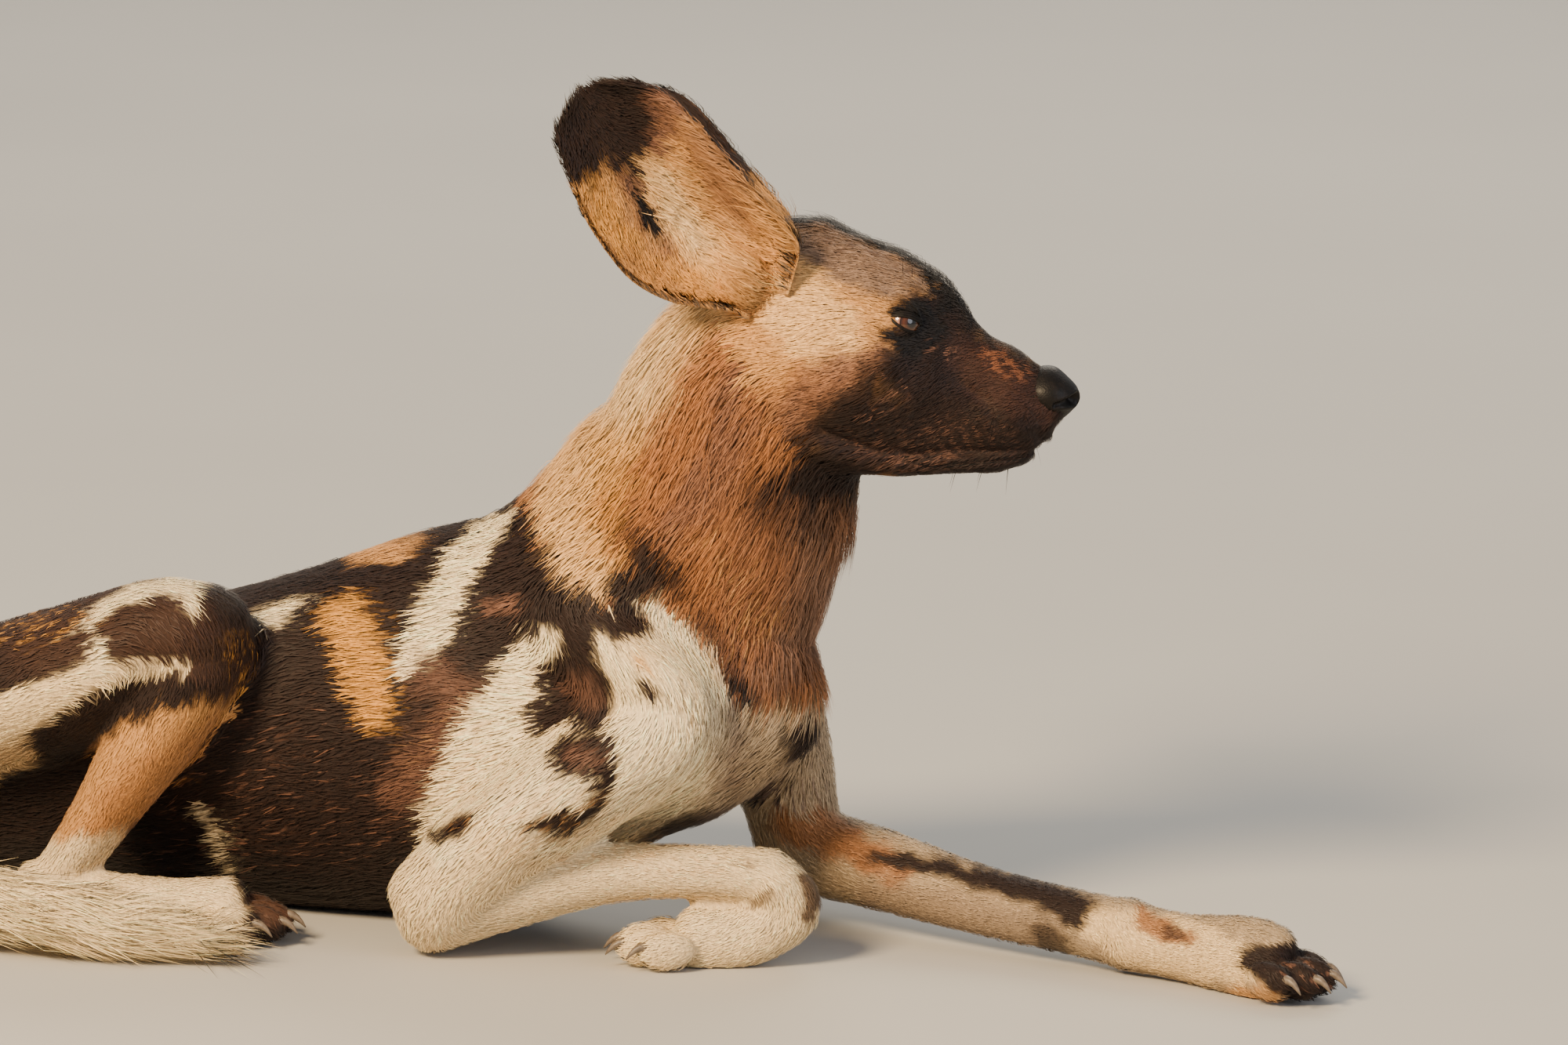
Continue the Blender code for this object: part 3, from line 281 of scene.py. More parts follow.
# Each leg's pieces from the trunk outwards: centre, half width across the limb, reach to each side of it
LEG_UP = (0.0, -1.0, 0.25)
LEGS = {
    "fore_right": {
        "upper_arm": (
            (*along(0.150, -0.052, 0.215), 0.026, 0.034, 0.034),
            (-0.092, -0.058, 0.190, 0.032, 0.046, 0.046),
            (-0.062, -0.072, 0.158, 0.036, 0.044, 0.050),
            (-0.104, -0.076, 0.128, 0.036, 0.048, 0.052),
            (-0.162, -0.068, 0.086, 0.033, 0.044, 0.044),
            (-0.212, -0.058, 0.037, 0.033, 0.035, 0.037),
        ),
        "forearm": (
            (-0.216, -0.056, 0.030, 0.029, 0.032, 0.034),
            (-0.170, -0.058, 0.042, 0.025, 0.027, 0.027),
            (-0.100, -0.061, 0.056, 0.019, 0.020, 0.020),
            (-0.030, -0.063, 0.058, 0.017, 0.017, 0.016),
            (-0.004, -0.063, 0.055, 0.019, 0.019, 0.018),
        ),
        "paw": (
            (-0.002, -0.063, 0.052, 0.019, 0.021, 0.019),
            (0.008, -0.064, 0.036, 0.020, 0.018, 0.018),
            (-0.018, -0.066, 0.019, 0.020, 0.018, 0.018),
            (-0.050, -0.069, 0.016, 0.021, 0.016, 0.016),
        ),
        "toes": {"at": (-0.064, -0.070, 0.0135), "ahead": (-1.0, -0.06, -0.04), "spread": (0.06, -1.0, 0.0)},
    },
    "fore_left": {
        "upper_arm": (
            (*along(0.120, 0.052, 0.235), 0.026, 0.034, 0.034),
            (-0.040, 0.052, 0.205, 0.034, 0.046, 0.042),
            (-0.016, 0.062, 0.165, 0.037, 0.042, 0.048),
            (0.000, 0.072, 0.115, 0.034, 0.042, 0.046),
            (0.010, 0.080, 0.056, 0.029, 0.036, 0.044),
        ),
        "forearm": (
            (0.010, 0.076, 0.046, 0.029, 0.032, 0.038),
            (0.064, 0.038, 0.040, 0.026, 0.028, 0.030),
            (0.130, -0.008, 0.031, 0.022, 0.022, 0.023),
            (0.196, -0.050, 0.026, 0.021, 0.021, 0.022),
            (0.220, -0.066, 0.025, 0.023, 0.022, 0.024),
        ),
        "paw": (
            (0.216, -0.064, 0.024, 0.022, 0.021, 0.023),
            (0.252, -0.086, 0.022, 0.021, 0.018, 0.021),
            (0.290, -0.112, 0.022, 0.026, 0.018, 0.021),
            (0.306, -0.122, 0.019, 0.026, 0.016, 0.019),
        ),
        "toes": {"at": (0.312, -0.127, 0.0150), "ahead": (0.845, -0.53, -0.03), "spread": (0.53, 0.845, 0.0)},
    },
    "hind_right": {
        "thigh": (
            (-0.540, 0.118, 0.099, 0.042, 0.056, 0.060),
            (-0.486, 0.076, 0.129, 0.048, 0.072, 0.086),
            (-0.432, 0.034, 0.158, 0.045, 0.070, 0.082),
            (-0.388, 0.004, 0.184, 0.039, 0.060, 0.060),
            (-0.364, -0.010, 0.191, 0.034, 0.048, 0.056),
        ),
        "shank": (
            (-0.364, -0.010, 0.172, 0.030, 0.042, 0.042),
            (-0.392, -0.008, 0.122, 0.028, 0.038, 0.038),
            (-0.420, -0.004, 0.076, 0.021, 0.027, 0.028),
            (-0.444, 0.000, 0.040, 0.017, 0.021, 0.022),
            (-0.456, 0.001, 0.026, 0.017, 0.020, 0.023),
        ),
        "foot": (
            (-0.462, 0.001, 0.026, 0.017, 0.021, 0.025),
            (-0.430, -0.006, 0.022, 0.017, 0.019, 0.022),
            (-0.380, -0.018, 0.019, 0.018, 0.017, 0.020),
            (-0.342, -0.027, 0.019, 0.022, 0.017, 0.020),
        ),
        "toes": {"at": (-0.336, -0.029, 0.0145), "ahead": (0.97, -0.22, -0.03), "spread": (0.22, 0.97, 0.0)},
    },
    "hind_left": {
        "thigh": (
            (-0.520, 0.205, 0.060, 0.038, 0.050, 0.050),
            (-0.452, 0.220, 0.068, 0.046, 0.064, 0.064),
            (-0.372, 0.248, 0.072, 0.042, 0.060, 0.060),
            (-0.300, 0.268, 0.068, 0.036, 0.048, 0.048),
            (-0.272, 0.274, 0.062, 0.032, 0.040, 0.040),
        ),
        "shank": (
            (-0.276, 0.276, 0.056, 0.032, 0.038, 0.038),
            (-0.340, 0.288, 0.044, 0.030, 0.034, 0.034),
            (-0.410, 0.300, 0.032, 0.022, 0.024, 0.026),
            (-0.462, 0.308, 0.024, 0.018, 0.020, 0.025),
        ),
        "foot": (
            (-0.474, 0.311, 0.024, 0.018, 0.021, 0.025),
            (-0.430, 0.326, 0.021, 0.017, 0.018, 0.021),
            (-0.372, 0.338, 0.019, 0.018, 0.017, 0.020),
            (-0.334, 0.344, 0.019, 0.022, 0.017, 0.020),
        ),
        "toes": {"at": (-0.328, 0.345, 0.0145), "ahead": (0.985, 0.12, -0.03), "spread": (-0.12, 0.985, 0.0)},
    },
}
# Toes in the foot's own frame, their radii and how many degrees they fan out for each metre aside
TOE_FAN = 260.0
TOE_SPOTS = ((0.004, -0.0215), (0.016, -0.0080), (0.016, 0.0080), (0.004, 0.0215))
TOE_RADII = (0.0185, 0.0088, 0.0128)
# A claw's length, radius at its root and shares of that radius along it
CLAW_LENGTH = 0.0150
CLAW_ROOT = 0.0032
CLAW_TAPER = (0.8, 1.0, 0.96, 0.84, 0.64, 0.40, 0.12)
# The lowest that the skin, the tips of tufts and claws, and the roots of tufts lie over the floor
SKIN_FLOOR, TUFT_FLOOR, TUFT_STEP, CLAW_FLOOR, ROOT_FLOOR = 0.0006, 0.0004, 0.0002, 0.0002, 0.0025


class Region(Enum):
    """The parts of the body that differ in coat."""

    HEAD = 0
    EAR_INNER_RIGHT = 1
    EAR_INNER_LEFT = 2
    EAR_BACK_RIGHT = 3
    EAR_BACK_LEFT = 4
    NECK = 5
    TRUNK = 6
    FORE_RIGHT = 7
    FORE_LEFT = 8
    HIND_RIGHT = 9
    HIND_LEFT = 10
    TAIL = 11


NODE_REGIONS = {
    "head": Region.HEAD,
    "lower_jaw": Region.HEAD,
    "neck": Region.NECK,
    "chest": Region.TRUNK,
    "belly": Region.TRUNK,
    "rump": Region.TRUNK,
    "tail_base": Region.TAIL,
    "tail_brush": Region.TAIL,
}
LEG_REGIONS = {leg: Region[leg.upper()] for leg in LEGS}


def linear(colour: str) -> np.ndarray:
    """Linear red, green and blue of an sRGB hex colour.

    Args:
        colour: the colour as "#rrggbb".

    Returns:
        Three numbers from 0 to 1.
    """
    parts = np.array([int(colour[i : i + 2], 16) / 255.0 for i in (1, 3, 5)])
    return np.where(parts <= 0.04045, parts / 12.92, ((parts + 0.055) / 1.055) ** 2.4)


def unit(vectors: np.ndarray) -> np.ndarray:
    """Vectors scaled to length one, along the last axis."""
    vectors = np.asarray(vectors, float)
    return vectors / np.maximum(np.linalg.norm(vectors, axis=-1, keepdims=True), 1e-12)


def head_matrix() -> Matrix:
    """The head's own frame: +X to the nose, +Y to its left ear, +Z to its crown."""
    return Matrix.Translation(HEAD_AT) @ Matrix.Rotation(math.radians(HEAD_ROLL), 4, "X")


def moved(points: np.ndarray, matrix: Matrix) -> np.ndarray:
    """The points taken through a matrix."""
    table = np.array(matrix)
    return points @ table[:3, :3].T + table[:3, 3]


def facing(direction: Vector) -> Matrix:
    """A rotation that turns +Z to this direction."""
    return Vector(direction).to_track_quat("Z", "Y").to_matrix().to_4x4()


def smooth_rows(rows: list, steps: int) -> np.ndarray:
    """Rows of numbers read from a smooth curve that passes through each given row.

    Args:
        rows: the rows that the curve passes through.
        steps: how many rows to give for each of them.

    Returns:
        The rows of the curve, the given first and last one included.
    """
    rows = np.array(rows, float)
    padded = np.vstack([2 * rows[0] - rows[1], rows, 2 * rows[-1] - rows[-2]])
    made = []
    for before, start, end, after in zip(padded, padded[1:], padded[2:], padded[3:]):
        for t in np.linspace(0.0, 1.0, steps, endpoint=False):
            slope = end - before
            bend = 2 * before - 5 * start + 4 * end - after
            twist = 3 * start - before - 3 * end + after
            made.append(0.5 * (2 * start + slope * t + bend * t**2 + twist * t**3))
    made.append(rows[-1])
    return np.array(made)


def smoothstep(low: float, high: float, value: np.ndarray) -> np.ndarray:
    """0 below low, 1 above high and a soft rise between them."""
    share = np.clip((value - low) / (high - low), 0.0, 1.0)
    return share * share * (3 - 2 * share)


def ripple(points: np.ndarray, size: float, seed: int) -> np.ndarray:
    """Smooth unevenness from -1 to 1 whose waves are about this size.

    Args:
        points: places, in metres or pixels.
        size: the length of the longest wave in the same measure.
        seed: picks one of many such fields.

    Returns:
        One number for each point.
    """
    chance = np.random.default_rng(seed)
    total = np.zeros(len(points))
    weight = 0.0
    for octave in range(3):
        for _ in range(4):
            way = unit(chance.normal(size=points.shape[1])) * 2 * math.pi / size * 1.9**octave
            total += np.sin(points @ way + chance.uniform(0, 2 * math.pi)) * 0.6**octave
            weight += 0.6**octave * 0.5
    return np.clip(total / weight, -1.0, 1.0)


def crown_share(places: np.ndarray) -> np.ndarray:
    """How far each place lies on the bristly line up the middle of the forehead.

    Args:
        places: N points in the working frame.

    Returns:
        A share from 0 to 1 for each.
    """
    own = moved(places, head_matrix().inverted())
    across = abs(own[:, 1]) + 0.0015 * ripple(places, 0.012, 41)
    share = 1.0 - smoothstep(CROWN_HALF * 0.6, CROWN_HALF * 1.3, across)
    share = share * smoothstep(*CROWN_START, own[:, 0]) * (1.0 - smoothstep(*CROWN_END, own[:, 0]))
    return share * (own[:, 2] > 0.0)


@dataclass
class Line:
    """A line of centres through a part of the body, read from its start to its end."""

    points: np.ndarray

    def nearest(self, places: np.ndarray) -> tuple[np.ndarray, np.ndarray, np.ndarray]:
        """The nearest part of the line to each place.

        Args:
            places: N points.

        Returns:
            The share of the line's length, the nearest point and the line's way there, each N long.
        """
        steps = np.diff(self.points, axis=0)
        lengths = np.linalg.norm(steps, axis=1)
        starts = np.concatenate([[0.0], np.cumsum(lengths)])
        best = np.full(len(places), np.inf)
        share = np.zeros(len(places))
        spot = np.zeros((len(places), 3))
        for i, step in enumerate(steps):
            t = np.clip((places - self.points[i]) @ step / (lengths[i] ** 2), 0.0, 1.0)
            point = self.points[i] + t[:, None] * step
            gap = np.linalg.norm(places - point, axis=1)
            closer = gap < best
            best[closer] = gap[closer]
            share[closer] = ((starts[i] + t * lengths[i]) / starts[-1])[closer]
            spot[closer] = point[closer]
        middles = (starts[:-1] + starts[1:]) / 2 / starts[-1]
        ways = unit(steps)
        way = np.stack([np.interp(share, middles, ways[:, k]) for k in range(3)], axis=1)
        return share, spot, unit(way)

    def at(self, share: np.ndarray) -> np.ndarray:
        """The points of the line at these shares of its length.

        Args:
            share: N numbers from 0 to 1.

        Returns:
            N points.
        """
        lengths = np.linalg.norm(np.diff(self.points, axis=0), axis=1)
        starts = np.concatenate([[0.0], np.cumsum(lengths)]) / lengths.sum()
        return np.stack([np.interp(share, starts, self.points[:, k]) for k in range(3)], axis=1)


def leg_line(leg: str) -> Line:
    """The line down one leg from the trunk to its toes."""
    rows = [row[:3] for name, piece in LEGS[leg].items() if name != "toes" for row in piece]
    return Line(np.array([*rows, LEGS[leg]["toes"]["at"]], float))


def ear_region(side: Side, inner: bool) -> Region:
    """The region of the ear's inside or back on one side."""
    return Region[f"EAR_{'INNER' if inner else 'BACK'}_{side.name}"]


@dataclass
class PhotoCamera:
    """The camera, level with a seated watcher, and its view of the dog: degrees, metres and pixels."""

    elevation: float = 11.0
    roll: float = 1.2
    distance: float = 9.0
    pixels_per_metre: float = 2050.0
    floor_row: float = 1205.0
    sensor: float = 36.0
    sight: float = 60.0

    @property
    def aim_height(self) -> float:
        """The height of the point that the camera looks at."""
        rise = (self.floor_row - IMAGE_HEIGHT / 2) / self.pixels_per_metre
        return rise / math.cos(math.radians(self.elevation))

    def pixels(self, points: np.ndarray) -> np.ndarray:
        """Where the points show in the view.

        Args:
            points: N points in the working frame.

        Returns:
            N rows of column and row in pixels.
        """
        tilt, roll = math.radians(self.elevation), math.radians(self.roll)
        x, y, z = points[:, 0], points[:, 1], points[:, 2] - self.aim_height
        depth = self.distance + y * math.cos(tilt) - z * math.sin(tilt)
        across = x * self.distance / depth
        upward = (z * math.cos(tilt) + y * math.sin(tilt)) * self.distance / depth
        u = across * math.cos(roll) + upward * math.sin(roll)
        v = upward * math.cos(roll) - across * math.sin(roll)
        column = IMAGE_WIDTH / 2 + u * self.pixels_per_metre
        return np.stack([column, IMAGE_HEIGHT / 2 - v * self.pixels_per_metre], axis=1)

    def build(self, shift: Vector) -> bpy.types.Object:
        """Adds the camera and makes it the scene's own.

        Args:
            shift: from the working frame to the frame of the solids.

        Returns:
            The camera's object.
        """
        tilt = math.radians(self.elevation)
        back = Vector((0.0, -math.cos(tilt), math.sin(tilt)))
        data = bpy.data.cameras.new("view")
        data.sensor_width = self.sensor
        data.lens = self.sensor * self.distance * self.pixels_per_metre / IMAGE_WIDTH
        data.clip_end = self.sight
        made = bpy.data.objects.new("view", data)
        bpy.context.scene.collection.objects.link(made)
        made.location = Vector((0.0, 0.0, self.aim_height)) + back * self.distance + shift
        level = (-back).to_track_quat("-Z", "Y")
        roll = Matrix.Rotation(math.radians(self.roll), 3, "Z").to_quaternion()
        made.rotation_euler = (level @ roll).to_euler()
        bpy.context.scene.camera = made
        return made


# Coat colours, in sRGB
BLACK, DARK, BROWN, RED_BROWN = "#0f0907", "#22130d", "#4e3323", "#4a2c1e"
RUST, GOLD, TAN, PALE = "#8e583a", "#cf9240", "#c99255", "#e2b172"
CREAM, WHITE, GREY, UMBER = "#eccb98", "#fbe3b6", "#7d6758", "#7c5643"
FAWN, ASH, IVORY = "#9c653a", "#b39b7a", "#f4d8a8"

# Waves of a marking's ragged edge and of its flecks in pixels, and how many such fields there are
EDGE_WAVE, FLECK_WAVE, FIELDS = 46.0, 15.0, 9973


@dataclass(frozen=True)
class Patch:
    """One marking of the coat, or painted shade on it: a chain of round spots in the view, with ragged edges.

    spots are column, row and radius in pixels. ragged is how far the edge wanders, soft how wide it
    fades, thin how much of the colour beneath shows through, and flecks, where it isn't 0, how much of
    the patch its flecks fill.
    """

    regions: tuple[Region, ...]
    colour: str
    spots: tuple[tuple[float, float, float], ...]
    ragged: float = 7.0
    soft: float = 5.0
    thin: float = 0.0
    flecks: float = 0.0

    def cover(self, pixels: np.ndarray) -> np.ndarray:
        """How far the marking covers each place.

        Args:
            pixels: N rows of column and row.

        Returns:
            A share from 0 to 1 for each.
        """
        spots = np.array(self.spots, float)
        reach = np.full(len(pixels), np.inf)
        for start, end in zip(spots, spots[1:]):
            step = end[:2] - start[:2]
            size = max(float(step @ step), 1e-9)
            t = np.clip((pixels - start[:2]) @ step / size, 0.0, 1.0)
            centre = start[:2] + t[:, None] * step
            radius = start[2] + t * (end[2] - start[2])
            reach = np.minimum(reach, np.linalg.norm(pixels - centre, axis=1) - radius)
        seed = int(abs(spots).sum()) % FIELDS
        reach = reach + self.ragged * ripple(pixels, EDGE_WAVE, seed)
        share = 1.0 - smoothstep(-self.soft, self.soft, reach)
        if self.flecks:
            field_height = ripple(pixels, FLECK_WAVE, seed + 1)
            share = share * smoothstep(1.0 - self.flecks, 1.2 - self.flecks, field_height)
        return share * (1.0 - self.thin)


HEAD, NECK_R, TRUNK = Region.HEAD, Region.NECK, Region.TRUNK
EARS_IN = (Region.EAR_INNER_RIGHT, Region.EAR_INNER_LEFT)
EARS_BACK = (Region.EAR_BACK_RIGHT, Region.EAR_BACK_LEFT)
ARM, FAR_ARM = Region.FORE_RIGHT, Region.FORE_LEFT
HINDS = (Region.HIND_RIGHT, Region.HIND_LEFT)

BASE_COLOURS = {
    Region.HEAD: TAN,
    Region.EAR_INNER_RIGHT: TAN,
    Region.EAR_INNER_LEFT: TAN,
    Region.EAR_BACK_RIGHT: DARK,
    Region.EAR_BACK_LEFT: DARK,
    Region.NECK: FAWN,
    Region.TRUNK: DARK,
    Region.FORE_RIGHT: IVORY,
    Region.FORE_LEFT: ASH,
    Region.HIND_RIGHT: DARK,
    Region.HIND_LEFT: DARK,
    Region.TAIL: IVORY,
}

PATCHES = (
    # head
    Patch((HEAD,), PALE, ((1000, 330, 40), (1030, 390, 50), (1062, 425, 46), (1088, 440, 24)), 9, 14),
    Patch((HEAD,), GREY, ((1044, 306, 26), (1095, 334, 34), (1145, 358, 28), (1186, 356, 20)), 6, 12, 0.1),
    Patch((HEAD,), BROWN, ((1060, 300, 12), (1110, 322, 14), (1160, 346, 14)), 6, 10, 0.4, 0.75),
    Patch((HEAD,), FAWN, ((1010, 520, 40), (1050, 490, 34), (1090, 470, 26)), 12, 20, 0.3),
    Patch((HEAD,), UMBER, ((1006, 560, 40), (1052, 515, 38), (1096, 480, 30), (1128, 448, 14)), 12, 18, 0.2),
    Patch((HEAD,), DARK, ((1010, 598, 36), (1066, 566, 44), (1120, 524, 46), (1156, 478, 40)), 10, 16, 0.1),
    Patch((HEAD,), DARK, ((1180, 410, 34), (1200, 470, 60), (1280, 520, 74), (1350, 530, 60)), 6, 10),
    Patch((HEAD,), RED_BROWN, ((1225, 440, 12), (1262, 480, 30), (1320, 520, 30)), 9, 18, 0.55),
    Patch((HEAD,), DARK, ((1110, 554, 52), (1200, 564, 54), (1300, 572, 44)), 8, 12),
    Patch((HEAD,), DARK,
          ((1206, 384, 18), (1240, 406, 20), (1276, 428, 16), (1312, 448, 14), (1345, 468, 12)), 5, 8),
    Patch((HEAD,), UMBER, ((1130, 470, 12), (1150, 500, 16), (1120, 530, 14)), 8, 10, 0.25, 0.6),
    Patch((HEAD,), UMBER,
          ((1090, 566, 20), (1160, 562, 26), (1240, 550, 20), (1290, 560, 14)), 9, 16, 0.55, 0.8),
    Patch((HEAD,), RUST, ((1262, 452, 9), (1284, 462, 13), (1304, 474, 10)), 7, 10, 0.25, 1.1),
    Patch((HEAD,), BLACK, ((1190, 356, 10), (1222, 384, 13), (1204, 396, 12)), 4, 6),
    Patch((HEAD,), BLACK,
          ((1146, 398, 8), (1178, 396, 14), (1194, 420, 20), (1170, 442, 19), (1142, 430, 9)), 3, 6),
    Patch((HEAD,), TAN, ((1156, 364, 6), (1174, 366, 9), (1190, 374, 5)), 7, 12, 0.4, 0.62),
    Patch((HEAD,), UMBER, ((1196, 442, 10), (1216, 450, 9)), 4, 6, 0.15, 0.7),
    Patch((HEAD,), UMBER, ((1095, 590, 12), (1150, 588, 12), (1210, 586, 8)), 5, 10, 0.5, 0.9),
    Patch((HEAD,), BROWN, ((1020, 520, 34), (1062, 478, 30), (1096, 452, 20)), 10, 16, 0.35, 0.62),
    # ears
    Patch(EARS_IN, DARK, ((786, 86, 66), (744, 146, 60), (736, 212, 40)), 8, 12),
    Patch(EARS_IN, DARK, ((800, 120, 48), (814, 180, 48), (818, 234, 22)), 9, 12),
    Patch(EARS_IN, UMBER, ((860, 128, 20), (866, 170, 20), (856, 205, 14)), 10, 14, 0.1),
    Patch(EARS_IN, PALE, ((862, 232, 30), (880, 280, 48), (925, 330, 44)), 14, 20),
    Patch(EARS_IN, CREAM, ((868, 230, 12), (882, 282, 22), (908, 326, 16)), 14, 20, 0.5),
    Patch(EARS_IN, GOLD, ((765, 262, 18), (786, 318, 26), (830, 366, 28), (900, 384, 24)), 10, 16, 0.2),
    Patch(EARS_IN, UMBER, ((808, 246, 14), (830, 292, 18), (852, 326, 10)), 9, 16, 0.25),
    # Darker at the bottom of the ear's cup: painted shade of the cup's lower rim
    Patch(EARS_IN, UMBER, ((806, 340, 12), (850, 372, 12), (890, 390, 10)), 8, 14, 0.6),
    # Painted shade: a black spot where the ear canal opens, a hollow that the ear's shape doesn't have
    Patch(EARS_IN, BLACK, ((824, 262, 9), (834, 290, 14), (841, 308, 8)), 4, 6),
    Patch(EARS_IN, UMBER, ((905, 170, 18), (945, 235, 20), (968, 285, 16)), 8, 16, 0.4),
    Patch(EARS_IN, DARK, ((852, 100, 13), (905, 136, 10), (950, 198, 8), (976, 246, 6)), 4, 7),
    Patch(EARS_BACK, TAN, ((990, 290, 40), (960, 350, 60), (900, 400, 60), (820, 390, 50)), 10, 14),
    Patch(EARS_BACK, TAN, ((820, 390, 50), (770, 330, 46), (738, 270, 30)), 10, 14),
    # neck
    Patch((NECK_R, HEAD), PALE,
          ((900, 395, 40), (850, 430, 50), (800, 500, 52), (760, 570, 46), (735, 620, 34)), 10, 22),
    Patch((NECK_R,), CREAM, ((880, 400, 16), (844, 450, 26), (800, 510, 20)), 12, 22, 0.4),
    Patch((NECK_R,), FAWN, ((930, 420, 14), (930, 500, 34), (900, 580, 44), (860, 640, 30)), 14, 26, 0.1),
    Patch((NECK_R,), UMBER, ((950, 470, 16), (945, 540, 24), (910, 600, 26), (880, 650, 20)), 12, 22, 0.2),
    Patch((NECK_R, TRUNK), PALE, ((738, 640, 36), (752, 690, 38), (780, 724, 26)), 10, 12),
    Patch((NECK_R,), GOLD, ((815, 540, 24), (795, 600, 30), (785, 660, 22), (796, 704, 16)), 14, 22, 0.45),
    Patch((NECK_R,), UMBER, ((1000, 640, 56), (1000, 710, 64), (970, 790, 56), (945, 850, 26)), 14, 24, 0.55),
    Patch((NECK_R, TRUNK), DARK, ((820, 648, 12), (842, 688, 22), (872, 722, 22)), 10, 16, 0.1),
    Patch((NECK_R, TRUNK), DARK, ((846, 700, 20), (812, 738, 30), (800, 770, 26)), 10, 14),
    Patch((NECK_R,), TAN,
          ((900, 660, 18), (950, 700, 30), (980, 760, 28), (930, 810, 18)), 12, 18, 0.35, 0.8),
    Patch((NECK_R,), GREY, ((1040, 640, 22), (1050, 710, 26), (1030, 780, 24), (985, 840, 18)), 14, 20, 0.5),
    Patch((NECK_R,), BROWN,
          ((1090, 640, 14), (1086, 720, 14), (1056, 800, 14), (1000, 862, 16)), 10, 14, 0.35),
    Patch((NECK_R,), BROWN, ((900, 770, 14), (930, 830, 18), (950, 860, 14)), 10, 14, 0.25),
    Patch((NECK_R, HEAD), DARK, ((1000, 596, 20), (1050, 596, 34), (1095, 600, 30)), 10, 16),
    Patch((NECK_R,), BROWN, ((960, 600, 16), (1000, 630, 20), (1050, 650, 18)), 10, 16, 0.3),
    Patch((NECK_R,), ASH, ((935, 930, 30), (1000, 930, 46), (1050, 920, 40)), 8, 12),
    Patch((NECK_R, TRUNK, ARM), BLACK, ((938, 858, 9), (958, 876, 11)), 5, 6),
    # trunk
    Patch((TRUNK,), WHITE,
          ((664, 648, 7), (636, 676, 17), (604, 712, 24), (590, 745, 24), (566, 792, 28), (542, 828, 20),
           (522, 860, 8)), 7, 5),
    Patch((TRUNK,), TAN, ((462, 708, 8), (505, 702, 15), (545, 690, 9)), 5, 6),
    Patch((TRUNK,), GOLD, ((450, 788, 30), (468, 830, 32), (484, 876, 28), (490, 912, 20)), 7, 8),
    Patch((TRUNK,), WHITE, ((336, 794, 9), (362, 782, 14), (390, 766, 6)), 5, 6),
    Patch((TRUNK,), UMBER, ((640, 770, 9), (664, 766, 8)), 4, 8, 0.3),
    Patch((TRUNK,), UMBER, ((560, 860, 26), (600, 880, 22), (560, 960, 30), (520, 1010, 26)), 12, 22, 0.5),
    Patch((TRUNK, *HINDS), UMBER, ((200, 1040, 90), (380, 1000, 110), (500, 1010, 80)), 12, 16, 0.5, 0.42),
    Patch((TRUNK,), WHITE, ((262, 1022, 4), (284, 1062, 8), (300, 1106, 6)), 4, 5, 0.2),
    Patch((TRUNK,), ASH, ((970, 900, 40), (965, 990, 44)), 8, 14),
    Patch((TRUNK,), WHITE, ((-60, 900, 40), (-100, 960, 44), (-70, 1010, 30)), 9, 8),
    Patch((TRUNK,), GOLD, ((-40, 830, 26), (-90, 846, 22)), 8, 9),
    # shoulder and near foreleg, with the trunk beside them
    Patch((TRUNK, ARM, NECK_R), WHITE,
          ((836, 762, 14), (856, 800, 30), (880, 850, 36), (895, 920, 40), (890, 1000, 46)), 8, 10),
    Patch((TRUNK, ARM), WHITE,
          ((694, 806, 14), (674, 850, 20), (660, 890, 30), (628, 950, 40), (596, 1010, 40),
           (570, 1070, 30)), 8, 7),
    Patch((TRUNK, ARM), WHITE, ((640, 980, 60), (720, 1020, 70), (820, 1000, 70), (850, 920, 56)), 8, 7),
    Patch((ARM,), DARK, ((640, 700, 60), (700, 760, 50), (740, 800, 40), (800, 790, 24)), 8, 8),
    Patch((ARM, TRUNK), WHITE, ((700, 806, 10), (682, 836, 16), (664, 880, 20)), 6, 5),
    Patch((ARM, TRUNK), WHITE, ((764, 814, 8), (784, 846, 16), (812, 890, 22), (820, 950, 26)), 6, 6),
    Patch((ARM, TRUNK), DARK, ((728, 842, 22), (738, 878, 42), (756, 906, 28)), 5, 5),
    Patch((ARM, TRUNK), UMBER, ((740, 866, 14), (756, 888, 14)), 6, 12, 0.55),
    Patch((ARM, TRUNK), DARK, ((728, 962, 25), (764, 962, 32), (778, 1000, 16), (766, 1026, 8)), 5, 5),
    Patch((ARM, TRUNK), UMBER, ((740, 958, 12), (764, 964, 12)), 5, 10, 0.5),
    Patch((ARM, TRUNK), DARK, ((820, 872, 11), (832, 880, 9)), 3, 4),
    Patch((ARM, TRUNK), GOLD, ((810, 838, 7), (818, 848, 6)), 3, 5, 0.3),
    Patch((ARM, TRUNK), BROWN, ((842, 868, 16), (880, 896, 24), (912, 940, 22)), 8, 10, 0.35, 0.62),
    Patch((ARM, TRUNK), DARK, ((690, 1050, 12), (722, 1046, 18), (760, 1034, 12)), 6, 6),
    Patch((ARM, TRUNK), DARK, ((566, 1062, 9), (584, 1054, 15), (600, 1042, 8)), 5, 5),
    # Painted shadow: a dark band under the elbow and brisket, where shade falls
    Patch((ARM, TRUNK), DARK, ((846, 1062, 14), (900, 1048, 20), (950, 1034, 16)), 6, 8, 0.1),
    Patch((ARM, TRUNK), GREY, ((928, 890, 16), (938, 960, 22), (925, 1030, 18)), 8, 18, 0.4),
    Patch((ARM, TRUNK), TAN,
          ((600, 960, 60), (640, 1040, 60), (760, 1060, 50), (900, 1110, 30)), 12, 20, 0.65, 0.75),
    Patch((ARM,), BROWN, ((1006, 1088, 5), (1012, 1096, 5)), 2, 3),
    Patch((ARM,), BROWN, ((1022, 1118, 9), (1036, 1140, 10), (1030, 1164, 10)), 4, 4, 0.1),
